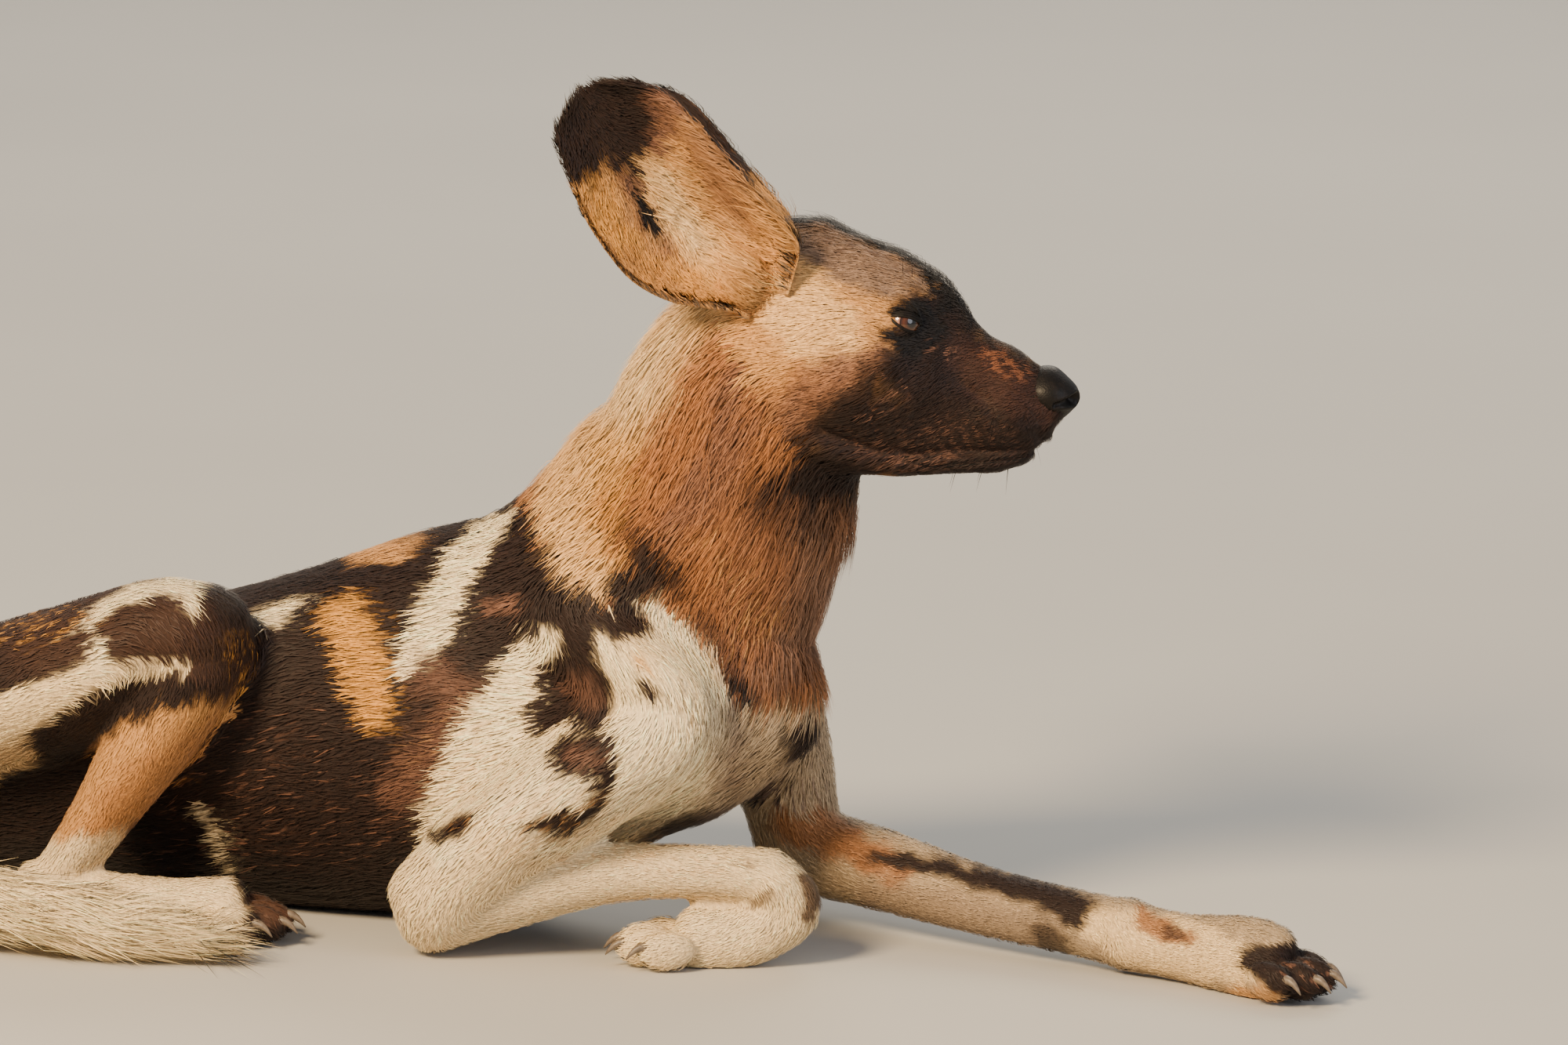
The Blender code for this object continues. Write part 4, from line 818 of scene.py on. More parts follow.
    Patch((ARM,), BROWN, ((980, 1136, 7), (960, 1150, 8)), 4, 4, 0.3),
    Patch((ARM,), BROWN, ((950, 1100, 4), (956, 1104, 4)), 2, 3, 0.3),
    # far foreleg
    Patch((FAR_ARM,), GREY, ((980, 880, 50), (1000, 960, 50), (1020, 1020, 40)), 8, 12, 0.2, 0.6),
    Patch((FAR_ARM,), BROWN, ((1044, 850, 8), (1050, 890, 9), (1062, 930, 6)), 5, 6, 0.2),
    Patch((FAR_ARM,), BROWN, ((1076, 960, 7), (1086, 1030, 8)), 6, 6, 0.2),
    Patch((FAR_ARM,), FAWN,
          ((1000, 1052, 20), (1050, 1060, 28), (1090, 1082, 22), (1140, 1110, 18)), 8, 10, 0.1),
    Patch((FAR_ARM,), GREY, ((1120, 1150, 34), (1220, 1170, 34), (1320, 1190, 30)), 8, 14, 0.5),
    Patch((FAR_ARM,), DARK,
          ((1110, 1092, 9), (1200, 1106, 12), (1290, 1130, 17), (1370, 1158, 24), (1400, 1176, 20)), 6, 7),
    Patch((FAR_ARM,), DARK, ((1330, 1190, 16), (1350, 1210, 18)), 7, 9, 0.2),
    Patch((FAR_ARM,), CREAM, ((1400, 1178, 20), (1440, 1196, 34), (1520, 1216, 38), (1580, 1228, 26)), 6, 6),
    Patch((FAR_ARM,), FAWN, ((1452, 1172, 12), (1482, 1186, 14), (1512, 1196, 10)), 6, 6, 0.1),
    Patch((FAR_ARM,), BROWN, ((1490, 1190, 7), (1510, 1200, 6)), 5, 5, 0.1),
    Patch((FAR_ARM,), DARK, ((1598, 1222, 20), (1650, 1240, 40), (1720, 1256, 34)), 6, 6),
    Patch((FAR_ARM,), TAN, ((1580, 1268, 16), (1620, 1280, 14)), 6, 8, 0.2),
    Patch((FAR_ARM,), UMBER, ((1650, 1240, 18), (1690, 1250, 18)), 6, 8, 0.2, 0.6),
    # hind legs
    Patch(HINDS, BROWN, ((40, 820, 50), (140, 790, 50), (220, 800, 50), (300, 850, 36)), 12, 22, 0.55),
    Patch(HINDS, GOLD, ((10, 806, 26), (60, 800, 22), (110, 792, 10)), 8, 8, 0.25, 0.55),
    Patch(HINDS, GOLD, ((300, 820, 22), (322, 870, 24), (310, 910, 24)), 8, 10, 0.3, 0.6),
    Patch(HINDS, TAN,
          ((300, 915, 30), (250, 935, 40), (180, 970, 52), (130, 1020, 50), (100, 1090, 48)), 8, 8),
    Patch(HINDS, FAWN, ((280, 930, 22), (216, 974, 30), (150, 1030, 30), (120, 1080, 20)), 10, 20, 0.45),
    Patch(HINDS, CREAM, ((-40, 960, 60), (0, 1010, 60), (30, 1070, 40)), 8, 10),
    Patch(HINDS, DARK,
          ((236, 872, 10), (190, 882, 13), (140, 902, 9), (100, 926, 9), (66, 960, 8), (44, 996, 6)), 5, 5),
    Patch(HINDS, IVORY,
          ((-60, 940, 36), (0, 918, 30), (50, 896, 24), (104, 866, 17), (160, 856, 11), (232, 844, 7)), 5, 5),
    Patch(HINDS, WHITE,
          ((120, 858, 11), (120, 826, 8), (106, 800, 7), (126, 778, 9), (180, 752, 9), (236, 742, 14),
           (244, 776, 7)), 4, 4),
    Patch(HINDS, IVORY, ((180, 1120, 60), (60, 1120, 50), (280, 1150, 30)), 6, 10),
    Patch(HINDS, BROWN, ((322, 1146, 14), (350, 1154, 26), (396, 1160, 24)), 6, 8, 0.1),
)

# Where the tail's tan root ends and its dark ring ends, as shares of its length from and to
TAIL_ROOT_ENDS, TAIL_RING_ENDS = (0.10, 0.14), (0.36, 0.40)
# How far the trunk's far markings stray from the near ones, in pixels, over which waves in metres
FAR_STRAY, FAR_WAVE = 34.0, 0.30
# How far every marking wavers and over which waves, both in pixels
WAVER, WAVER_WAVE = 3.0, 30.0


@dataclass
class MarkingsAndPaintedShade:
    """Paints places of the skin and coat from the named patches: markings, and a few of painted shade."""

    camera: PhotoCamera

    def mirrored(self, points: np.ndarray, regions: np.ndarray) -> np.ndarray:
        """The place on the side towards the camera that each place takes its marking from.

        Args:
            points: N places in the working frame.
            regions: the region number of each.

        Returns:
            N places.
        """
        found = points.copy()
        yaw = math.radians(BODY_YAW)
        left = np.array([math.sin(yaw), math.cos(yaw), 0.0])
        aside = (points - np.array([*BRISKET, 0.0])) @ left
        flipped = points - 2 * np.clip(aside, 0.0, None)[:, None] * left
        own = moved(points, head_matrix().inverted())
        own[:, 1] = -abs(own[:, 1])
        head = moved(own, head_matrix())
        trunk = regions == Region.TRUNK.value
        neck = regions == Region.NECK.value
        found[trunk] = flipped[trunk]
        rise = smoothstep(0.24, 0.34, points[:, 2])[:, None]
        found[neck] = (flipped * (1 - rise) + head * rise)[neck]
        skull = regions == Region.HEAD.value
        found[skull] = head[skull]
        for inner in (True, False):
            ear = regions == ear_region(Side.LEFT, inner).value
            if ear.any():
                found[ear] = EarShape(Side.RIGHT).place(EarShape(Side.LEFT).local(points[ear]))
        far = regions == Region.HIND_LEFT.value
        if far.any():
            share, spot, _way = leg_line("hind_left").nearest(points[far])
            found[far] = leg_line("hind_right").at(share) + (points[far] - spot) * np.array([1.0, -1.0, 1.0])
        return found

    def paint(self, points: np.ndarray, regions: np.ndarray) -> np.ndarray:
        """The coat's colour at each place.

        Args:
            points: N places in the working frame.
            regions: the region number of each.

        Returns:
            N rows of linear red, green and blue.
        """
        pixels = self.camera.pixels(self.mirrored(points, regions))
        yaw = math.radians(BODY_YAW)
        aside = (points - np.array([*BRISKET, 0.0])) @ np.array([math.sin(yaw), math.cos(yaw), 0.0])
        far = smoothstep(0.01, 0.08, aside) * (regions == Region.TRUNK.value)
        pixels = pixels + (far * FAR_STRAY * ripple(points, FAR_WAVE, 5))[:, None] * np.array([1.0, 0.6])
        wave = np.stack([ripple(pixels, WAVER_WAVE, seed) for seed in (11, 12)], axis=1)
        pixels = pixels + wave * WAVER
        colours = np.zeros((len(points), 3))
        for region, colour in BASE_COLOURS.items():
            colours[regions == region.value] = linear(colour)
        for patch in PATCHES:
            chosen = np.isin(regions, [region.value for region in patch.regions])
            if chosen.any():
                share = patch.cover(pixels[chosen])[:, None]
                colours[chosen] += (linear(patch.colour) - colours[chosen]) * share
        skull = regions == Region.HEAD.value
        colours[skull] += (linear(BLACK) - colours[skull]) * crown_share(points[skull])[:, None]
        tail = regions == Region.TAIL.value
        if tail.any():
            share, _spot, _way = Line(np.array(TAIL)[:, :3]).nearest(points[tail])
            share = share + 0.02 * ripple(points[tail], 0.03, 21)
            past_root = smoothstep(*TAIL_ROOT_ENDS, share)
            ring = past_root * (1 - smoothstep(*TAIL_RING_ENDS, share))
            for colour, cover in ((TAN, 1 - past_root), (DARK, ring)):
                colours[tail] += (linear(colour) - colours[tail]) * cover[:, None]
        return colours


@dataclass
class EarShape:
    """The cup of one ear, and its own measures: share of its length, way across and height over it."""

    side: Side

    def axes(self) -> tuple[np.ndarray, np.ndarray, np.ndarray, np.ndarray, float]:
        """The ear's own axes.

        Returns:
            The root, the way to the tip, the way it opens, the way to its front edge, and its length.
        """
        ear = EARS[self.side]
        root, tip = np.array(ear["root"]), np.array(ear["tip"])
        ahead = unit(tip - root)
        opens = np.array(ear["opens"], float)
        opens = unit(opens - ahead * (opens @ ahead))
        front = np.cross(ahead, opens)
        if front[0] < 0:
            front = -front
        return root, ahead, opens, front, float(np.linalg.norm(tip - root))

    def outline(self, share: np.ndarray) -> np.ndarray:
        """Half width in front, half width behind and cup depth at these shares of the length."""
        rows = smooth_rows(EAR_OUTLINE, 6)
        return np.stack([np.interp(share, rows[:, 0], rows[:, k]) for k in (1, 2, 3)], axis=1)

    def cup(self, across: np.ndarray, depth: np.ndarray) -> np.ndarray:
        """How deep the cup lies under its rim at these ways across."""
        return depth * (1 - np.clip(abs(across), 0, 1) ** EAR_CUP_POWER)

    def place(self, local: np.ndarray) -> np.ndarray:
        """Places from the ear's own measures.

        Args:
            local: N rows of share, way across from -1 behind to 1 in front, and height over the cup.

        Returns:
            N points in the working frame.
        """
        root, ahead, opens, front, length = self.axes()
        sizes = self.outline(local[:, 0])
        half = np.where(local[:, 1] > 0, sizes[:, 0], sizes[:, 1])
        sink = self.cup(local[:, 1], sizes[:, 2])
        return (
            root
            + np.outer(local[:, 0] * length, ahead)
            + np.outer(local[:, 1] * half, front)
            + np.outer(local[:, 2] - sink, opens)
        )

    def local(self, places: np.ndarray) -> np.ndarray:
        """The ear's own measures of places.

        Args:
            places: N points in the working frame.

        Returns:
            N rows of share, way across and height over the cup.
        """
        root, ahead, opens, front, length = self.axes()
        offset = places - root
        share = offset @ ahead / length
        sizes = self.outline(share)
        across = offset @ front
        across = across / np.where(across > 0, sizes[:, 0], sizes[:, 1])
        sink = self.cup(across, sizes[:, 2])
        return np.stack([share, across, offset @ opens + sink], axis=1)


# Degrees at which the circles of a tube's round end stand
CAP_TURNS = (25, 45, 63, 78, 88)


def add_tube(
    bm: bmesh.types.BMesh,
    rings: list,
    up: tuple[float, float, float],
    sides: int,
    steps: int,
    blunt: float,
    ahead: tuple[float, float, float] | None = None,
) -> None:
    """Adds a closed tube of bridged circles through rings of centre, half width, reach up and reach down.

    Args:
        bm: the mesh that takes the tube.
        rings: the rows of the tube.
        up: the way of the reach up.
        sides: how many sides the tube has.
        steps: circles for each given row.
        blunt: how far the round ends reach, as a share of their radius.
        ahead: the way that the circles face, or None to stand square to the line.
    """
    rows = smooth_rows(rings, steps)
    ends = []
    for row, inner in ((rows[0], rows[1]), (rows[-1], rows[-2])):
        away = unit(row[:3] - inner[:3])
        reach = row[3:].mean() * blunt
        turns = np.radians(CAP_TURNS)
        caps = [(away * reach * math.sin(turn), math.cos(turn)) for turn in turns]
        ends.append([np.concatenate([row[:3] + out, row[3:] * share]) for out, share in caps])
    rows = np.array(ends[0][::-1] + list(rows) + ends[1])
    centres = rows[:, :3]
    line = np.gradient(centres, axis=0)
    facing_way = unit(line if ahead is None else np.broadcast_to(ahead, line.shape))
    aside = unit(np.cross(np.array(up, float), facing_way))
    above = np.cross(facing_way, aside)
    loops = []
    for i, (_x, _y, _z, wide, high, low) in enumerate(rows):
        verts = bmesh.ops.create_circle(bm, segments=sides, radius=1.0)["verts"]
        loops.append((verts, list({edge for vertex in verts for edge in vertex.link_edges})))
        for vertex in verts:
            x, y = vertex.co.x, vertex.co.y
            vertex.co = centres[i] + aside[i] * x * wide + above[i] * y * (high if y > 0 else low)
    for (_first, one), (_second, other) in zip(loops, loops[1:]):
        bmesh.ops.bridge_loops(bm, edges=one + other)
    for verts, _edges in (loops[0], loops[-1]):
        bmesh.ops.contextual_create(bm, geom=verts)


def add_blob(
    bm: bmesh.types.BMesh, centre: Vector, radii: tuple, turn: Matrix | None = None, detail: int = 4
) -> None:
    """Adds an ellipsoid.

    Args:
        bm: the mesh that takes it.
        centre: its middle.
        radii: its three half sizes.
        turn: how it is turned, if it is.
        detail: how often the sphere it starts from is split.
    """
    matrix = Matrix.Translation(centre) @ (turn or Matrix()) @ Matrix.Diagonal((*radii, 1.0))
    bmesh.ops.create_icosphere(bm, subdivisions=detail, radius=1.0, matrix=matrix)


def add_cord(
    bm: bmesh.types.BMesh, points: np.ndarray, radii: np.ndarray, sides: int, closed: bool = False
) -> None:
    """Adds a round tapering strand of bridged circles through points.

    Args:
        bm: the mesh that takes the strand.
        points: the middle line.
        radii: the strand's radius at each point.
        sides: how many sides it has.
        closed: whether its end meets its start.
    """
    points = np.array(points, float)
    if closed:
        ways = unit(np.roll(points, -1, axis=0) - np.roll(points, 1, axis=0))
    else:
        ways = unit(np.gradient(points, axis=0))
    normal = unit(np.cross(ways[0], (0.31, 0.77, 0.55)))
    loops = []
    for point, way, radius in zip(points, ways, radii):
        normal = unit(normal - way * (normal @ way))
        other = np.cross(way, normal)
        verts = bmesh.ops.create_circle(bm, segments=sides, radius=float(radius))["verts"]
        loops.append((verts, list({edge for vertex in verts for edge in vertex.link_edges})))
        for vertex in verts:
            vertex.co = point + normal * vertex.co.x + other * vertex.co.y
    pairs = list(zip(loops, loops[1:])) + ([(loops[-1], loops[0])] if closed else [])
    for (_first, one), (_second, two) in pairs:
        bmesh.ops.bridge_loops(bm, edges=one + two)
    if not closed:
        for verts, _edges in (loops[0], loops[-1]):
            bmesh.ops.contextual_create(bm, geom=verts)


def to_object(name: str, bm: bmesh.types.BMesh, smooth: bool = True) -> bpy.types.Object:
    """An object in the scene, with its faces turned outwards.

    Args:
        name: the object's name.
        bm: its shape, which is freed.
        smooth: whether its faces shade smoothly.

    Returns:
        The object.
    """
    bmesh.ops.recalc_face_normals(bm, faces=bm.faces)
    mesh = bpy.data.meshes.new(name)
    bm.to_mesh(mesh)
    bm.free()
    made = bpy.data.objects.new(name, mesh)
    bpy.context.scene.collection.objects.link(made)
    if smooth:
        mesh.shade_smooth()
    return made


def settle(obj: bpy.types.Object) -> bpy.types.Object:
    """Applies an object's modifiers to its mesh.

    Args:
        obj: the object.

    Returns:
        The same object.
    """
    graph = bpy.context.evaluated_depsgraph_get()
    mesh = bpy.data.meshes.new_from_object(obj.evaluated_get(graph))
    obj.modifiers.clear()
    old = obj.data
    obj.data = mesh
    bpy.data.meshes.remove(old)
    return obj


def fuse(name: str, bm: bmesh.types.BMesh, voxel: float, smoothing: int, triangles: int) -> bpy.types.Object:
    """One smooth surface from overlapping closed shapes.

    Args:
        name: the object's name.
        bm: the shapes.
        voxel: the grain of the fusing.
        smoothing: rounds of smoothing after it.
        triangles: how many triangles are left.

    Returns:
        The fused object.
    """
    made = to_object(name, bm)
    skin = made.modifiers.new("fuse", "REMESH")
    skin.mode = "VOXEL"
    skin.voxel_size = voxel
    soften = made.modifiers.new("soften", "SMOOTH")
    soften.factor = 0.5
    soften.iterations = smoothing
    settle(made)
    fewer = made.modifiers.new("fewer", "DECIMATE")
    fewer.ratio = min(1.0, triangles / (2.0 * len(made.data.polygons)))
    fewer.use_collapse_triangulate = True
    return settle(made)


def vertex_table(mesh: bpy.types.Mesh, normals: bool = False) -> np.ndarray:
    """The places or the normals of a mesh's vertices.

    Args:
        mesh: the mesh.
        normals: whether the normals are asked for.

    Returns:
        N rows of three numbers.
    """
    table = np.zeros(len(mesh.vertices) * 3, np.float32)
    if normals:
        mesh.vertex_normals.foreach_get("vector", table)
    else:
        mesh.vertices.foreach_get("co", table)
    return table.reshape(-1, 3).astype(float)


def set_places(mesh: bpy.types.Mesh, places: np.ndarray) -> None:
    """Moves the mesh's vertices to these places."""
    mesh.vertices.foreach_set("co", places.astype(np.float32).ravel())
    mesh.update()


def paint_points(mesh: bpy.types.Mesh, colours: np.ndarray) -> None:
    """Stores a colour for each vertex under the name Coat.

    Args:
        mesh: the mesh.
        colours: N rows of linear red, green and blue.
    """
    layer = mesh.color_attributes.new("Coat", "FLOAT_COLOR", "POINT")
    table = np.ones((len(mesh.vertices), 4), np.float32)
    table[:, :3] = colours
    layer.data.foreach_set("color", table.ravel())


def on_side(spot: tuple[float, float, float], side: Side) -> Vector:
    """A place or way of the left side of the head, on the side asked for."""
    return Vector((spot[0], side.value * spot[1], spot[2]))


def eye_centre(side: Side) -> Vector:
    """The middle of one eyeball in the working frame."""
    return head_matrix() @ on_side(EYE, side)


def eye_frame(side: Side) -> Matrix:
    """The eye's own frame.

    Args:
        side: which eye.

    Returns:
        A frame with +Z out between the lids and +X towards the outer corner.
    """
    out = on_side(EYE_OPENS, side).normalized()
    tilt = math.radians(EYE_TILT)
    corner = Vector((-math.cos(tilt), 0.0, math.sin(tilt)))
    corner = (corner - out * corner.dot(out)).normalized()
    rows = Matrix((corner, out.cross(corner), out)).transposed().to_4x4()
    return head_matrix() @ Matrix.Translation(on_side(EYE, side)) @ rows


def toe_frame(toes: dict) -> Matrix:
    """The foot's own frame at the root of its toes.

    Args:
        toes: the place and ways of the foot's toes.

    Returns:
        A frame with +X ahead and +Z up.
    """
    ahead = Vector(toes["ahead"]).normalized()
    aside = Vector(toes["spread"])
    aside = (aside - ahead * aside.dot(ahead)).normalized()
    above = ahead.cross(aside)
    if above.z < 0:
        above = -above
    rows = Matrix((ahead, aside, above)).transposed().to_4x4()
    return Matrix.Translation(toes["at"]) @ rows


def add_node(tree: bpy.types.NodeTree, kind: str, links: dict | None = None, **settings) -> bpy.types.Node:
    """Adds a node with its settings, and links or sets its inputs.

    Args:
        tree: the material's node tree.
        kind: the node's type.
        links: for each input's name or number, an output socket to link or a value to set.
        **settings: the node's own properties.

    Returns:
        The node.
    """
    node = tree.nodes.new(kind)
    for name, value in settings.items():
        setattr(node, name, value)
    for name, value in (links or {}).items():
        if isinstance(value, bpy.types.NodeSocket):
            tree.links.new(value, node.inputs[name])
        else:
            node.inputs[name].default_value = value
    return node


@dataclass(frozen=True)
class Finish:
    """What every finish shares: a name, a roughness and a material with one shader."""

    name: str
    roughness: float

    def start(self) -> tuple[bpy.types.Material, bpy.types.NodeTree, bpy.types.Node]:
        """Starts a material.

        Returns:
            The material, its node tree and its shader.
        """
        material = bpy.data.materials.new(self.name)
        material.use_nodes = True
        tree = material.node_tree
        shader = tree.nodes["Principled BSDF"]
        shader.inputs["Roughness"].default_value = self.roughness
        shader.inputs["Metallic"].default_value = 0.0
        return material, tree, shader

    def two_tones(
        self,
        tree: bpy.types.NodeTree,
        noise: bpy.types.Node,
        dark: str,
        light: str,
        stops: tuple[float, float],
    ) -> bpy.types.NodeSocket:
        """A ramp between two colours.

        Args:
            tree: the material's node tree.
            noise: the node that mixes them.
            dark: the colour below the first stop.
            light: the colour above the last one.
            stops: where the ramp starts and ends.

        Returns:
            The colour's socket.
        """
        ramp = add_node(tree, "ShaderNodeValToRGB", {"Fac": noise.outputs["Fac"]})
        for element, colour, stop in zip(ramp.color_ramp.elements, (dark, light), stops):
            element.color = (*linear(colour), 1.0)
            element.position = stop
        return ramp.outputs["Color"]


@dataclass(frozen=True)
class HairFinish(Finish):
    """Guard hair: keratin fibres that give a soft broken shine, coloured by the coat's markings.

    A hair is 0.06 mm thick, too fine to show, so the grain of its tone is drawn at grain_mm.
    """

    grain_mm: float = 2.5
    # shade darkens the colour as painted shade, below 1 for the undercoat seen between the tufts
    shade: float = 1.0
    bump: float = 0.0

    def material(self) -> bpy.types.Material:
        """Mixes the material.

        Returns:
            The material.
        """
        material, tree, shader = self.start()
        shader.inputs["Sheen Weight"].default_value = 0.05
        shader.inputs["Sheen Roughness"].default_value = 0.5
        shader.inputs["Specular IOR Level"].default_value = 0.25
        shader.inputs["IOR"].default_value = 1.55
        place = add_node(tree, "ShaderNodeTexCoord").outputs["Object"]
        colour = add_node(tree, "ShaderNodeAttribute", attribute_name="Coat").outputs["Color"]
        scale = 1000.0 / self.grain_mm
        grain = add_node(tree, "ShaderNodeTexNoise", {"Vector": place, "Scale": scale, "Detail": 3.0})
        spread = add_node(
            tree,
            "ShaderNodeMapRange",
            {"Value": grain.outputs["Fac"], "From Min": 0.3, "From Max": 0.7, "To Min": 0.74, "To Max": 1.2},
        )
        # The colour is darkened by shade, as painted shade, and varied by the grain's random tone
        for share in (self.shade, spread.outputs["Result"]):
            scaled = add_node(tree, "ShaderNodeVectorMath", {0: colour, "Scale": share}, operation="SCALE")
            colour = scaled.outputs["Vector"]
        tree.links.new(colour, shader.inputs["Base Color"])
        if self.bump:
            height = {"Height": grain.outputs["Fac"], "Strength": self.bump, "Distance": 0.001}
            rough = add_node(tree, "ShaderNodeBump", height)
            tree.links.new(rough.outputs["Normal"], shader.inputs["Normal"])
        return material


@dataclass(frozen=True)
class BareSkinFinish(Finish):
    """Hairless black skin of nose, lips and lids: damp, with fine pebbles that break its shine."""

    colour: str = "#0b0908"
    light: str = "#1a1512"
    pebble_mm: float = 0.9
    cloud_mm: float = 3.85
    depth: float = 0.35
    wet: float = 0.15

    def material(self) -> bpy.types.Material:
        """Mixes the material.

        Returns:
            The material.
        """
        material, tree, shader = self.start()
        shader.inputs["Coat Weight"].default_value = self.wet
        shader.inputs["Coat Roughness"].default_value = 0.25
        shader.inputs["Specular IOR Level"].default_value = 0.18
        place = add_node(tree, "ShaderNodeTexCoord").outputs["Object"]
        scales = {"Vector": place, "Scale": 1000.0 / self.pebble_mm}
        pebbles = add_node(tree, "ShaderNodeTexVoronoi", scales, feature="F1")
        scales = {"Vector": place, "Scale": 1000.0 / self.cloud_mm, "Detail": 4.0}
        cloud = add_node(tree, "ShaderNodeTexNoise", scales)
        tone = self.two_tones(tree, cloud, self.colour, self.light, (0.42, 0.80))
        tree.links.new(tone, shader.inputs["Base Color"])
        height = {"Height": pebbles.outputs["Distance"], "Strength": self.depth, "Distance": 0.0004}
        bump = add_node(tree, "ShaderNodeBump", height)
        tree.links.new(bump.outputs["Normal"], shader.inputs["Normal"])
        return material


# Rings of the eye from the pupil to the white's edge: share of the ball's radius and colour
IRIS_RINGS = (
    (0.00, "#060404"),
    (0.24, "#060404"),
    (0.28, "#2c1409"),
    (0.46, "#4c2710"),
    (0.58, "#2a140a"),
    (0.62, "#1a0e0a"),
    (0.68, "#a67a66"),
    (0.85, "#c9a592"),
    (1.00, "#a8604a"),
)


@dataclass(frozen=True)
class EyeFinish(Finish):
    """The eyeball: a clear wet cornea over a brown iris, with a reddish white behind it."""

    centre: tuple[float, float, float] = (0.0, 0.0, 0.0)
    gaze: tuple[float, float, float] = (1.0, 0.0, 0.0)
    radius: float = EYE_RADIUS

    def material(self) -> bpy.types.Material:
        """Mixes the material, with rings about the gaze.

        Returns:
            The material.
        """
        material, tree, shader = self.start()
        shader.inputs["Coat Weight"].default_value = 1.0
        shader.inputs["Coat Roughness"].default_value = 0.03
        shader.inputs["IOR"].default_value = 1.38
        turn = facing(Vector(self.gaze)).to_3x3().transposed()
        offset = -(turn @ Vector(self.centre)) / self.radius
        place = add_node(tree, "ShaderNodeTexCoord").outputs["Object"]
        size = (1.0 / self.radius,) * 3
        onto = {"Vector": place, "Location": offset, "Rotation": turn.to_euler(), "Scale": size}
        own = add_node(tree, "ShaderNodeMapping", onto).outputs["Vector"]
        flat = add_node(tree, "ShaderNodeVectorMath", {0: own, 1: (1.0, 1.0, 0.0)}, operation="MULTIPLY")
        ring = add_node(tree, "ShaderNodeVectorMath", {0: flat.outputs["Vector"]}, operation="LENGTH")
        ramp = add_node(tree, "ShaderNodeValToRGB", {"Fac": ring.outputs["Value"]})
        for position, _colour in IRIS_RINGS[1:-1]:
            ramp.color_ramp.elements.new(position)
        for element, (position, colour) in zip(ramp.color_ramp.elements, IRIS_RINGS):
            element.position = position
            element.color = (*linear(colour), 1.0)
        tree.links.new(ramp.outputs["Color"], shader.inputs["Base Color"])
        return material


@dataclass(frozen=True)
class HornFinish(Finish):
    """Claw horn: hard worn keratin, mottled from dark brown to grey, with a dull shine."""

    dark: str = "#2e2620"
    light: str = "#8a7a68"
    grain_mm: float = 2.4

    def material(self) -> bpy.types.Material:
        """Mixes the material.

        Returns:
            The material.
        """
        material, tree, shader = self.start()
        place = add_node(tree, "ShaderNodeTexCoord").outputs["Object"]
        scales = {"Vector": place, "Scale": 1000.0 / self.grain_mm, "Detail": 4.0}
        grain = add_node(tree, "ShaderNodeTexNoise", scales)
        tone = self.two_tones(tree, grain, self.dark, self.light, (0.0, 1.0))
        tree.links.new(tone, shader.inputs["Base Color"])
        relief = {"Height": grain.outputs["Fac"], "Strength": 0.2, "Distance": 0.0004}
        bump = add_node(tree, "ShaderNodeBump", relief)
        tree.links.new(bump.outputs["Normal"], shader.inputs["Normal"])
        return material


@dataclass(frozen=True)
class FloorFinish(Finish):
    """Pale painted studio floor with a faint cloud in its tone."""

    dark: str = "#b4b2ac"
    light: str = "#bfbdb7"
    cloud_mm: float = 667.0

    def material(self) -> bpy.types.Material:
        """Mixes the material.

        Returns:
            The material.
        """
        material, tree, shader = self.start()
        place = add_node(tree, "ShaderNodeTexCoord").outputs["Object"]
        scales = {"Vector": place, "Scale": 1000.0 / self.cloud_mm, "Detail": 3.0}
        cloud = add_node(tree, "ShaderNodeTexNoise", scales)
        tone = self.two_tones(tree, cloud, self.dark, self.light, (0.0, 1.0))
        tree.links.new(tone, shader.inputs["Base Color"])
        return material


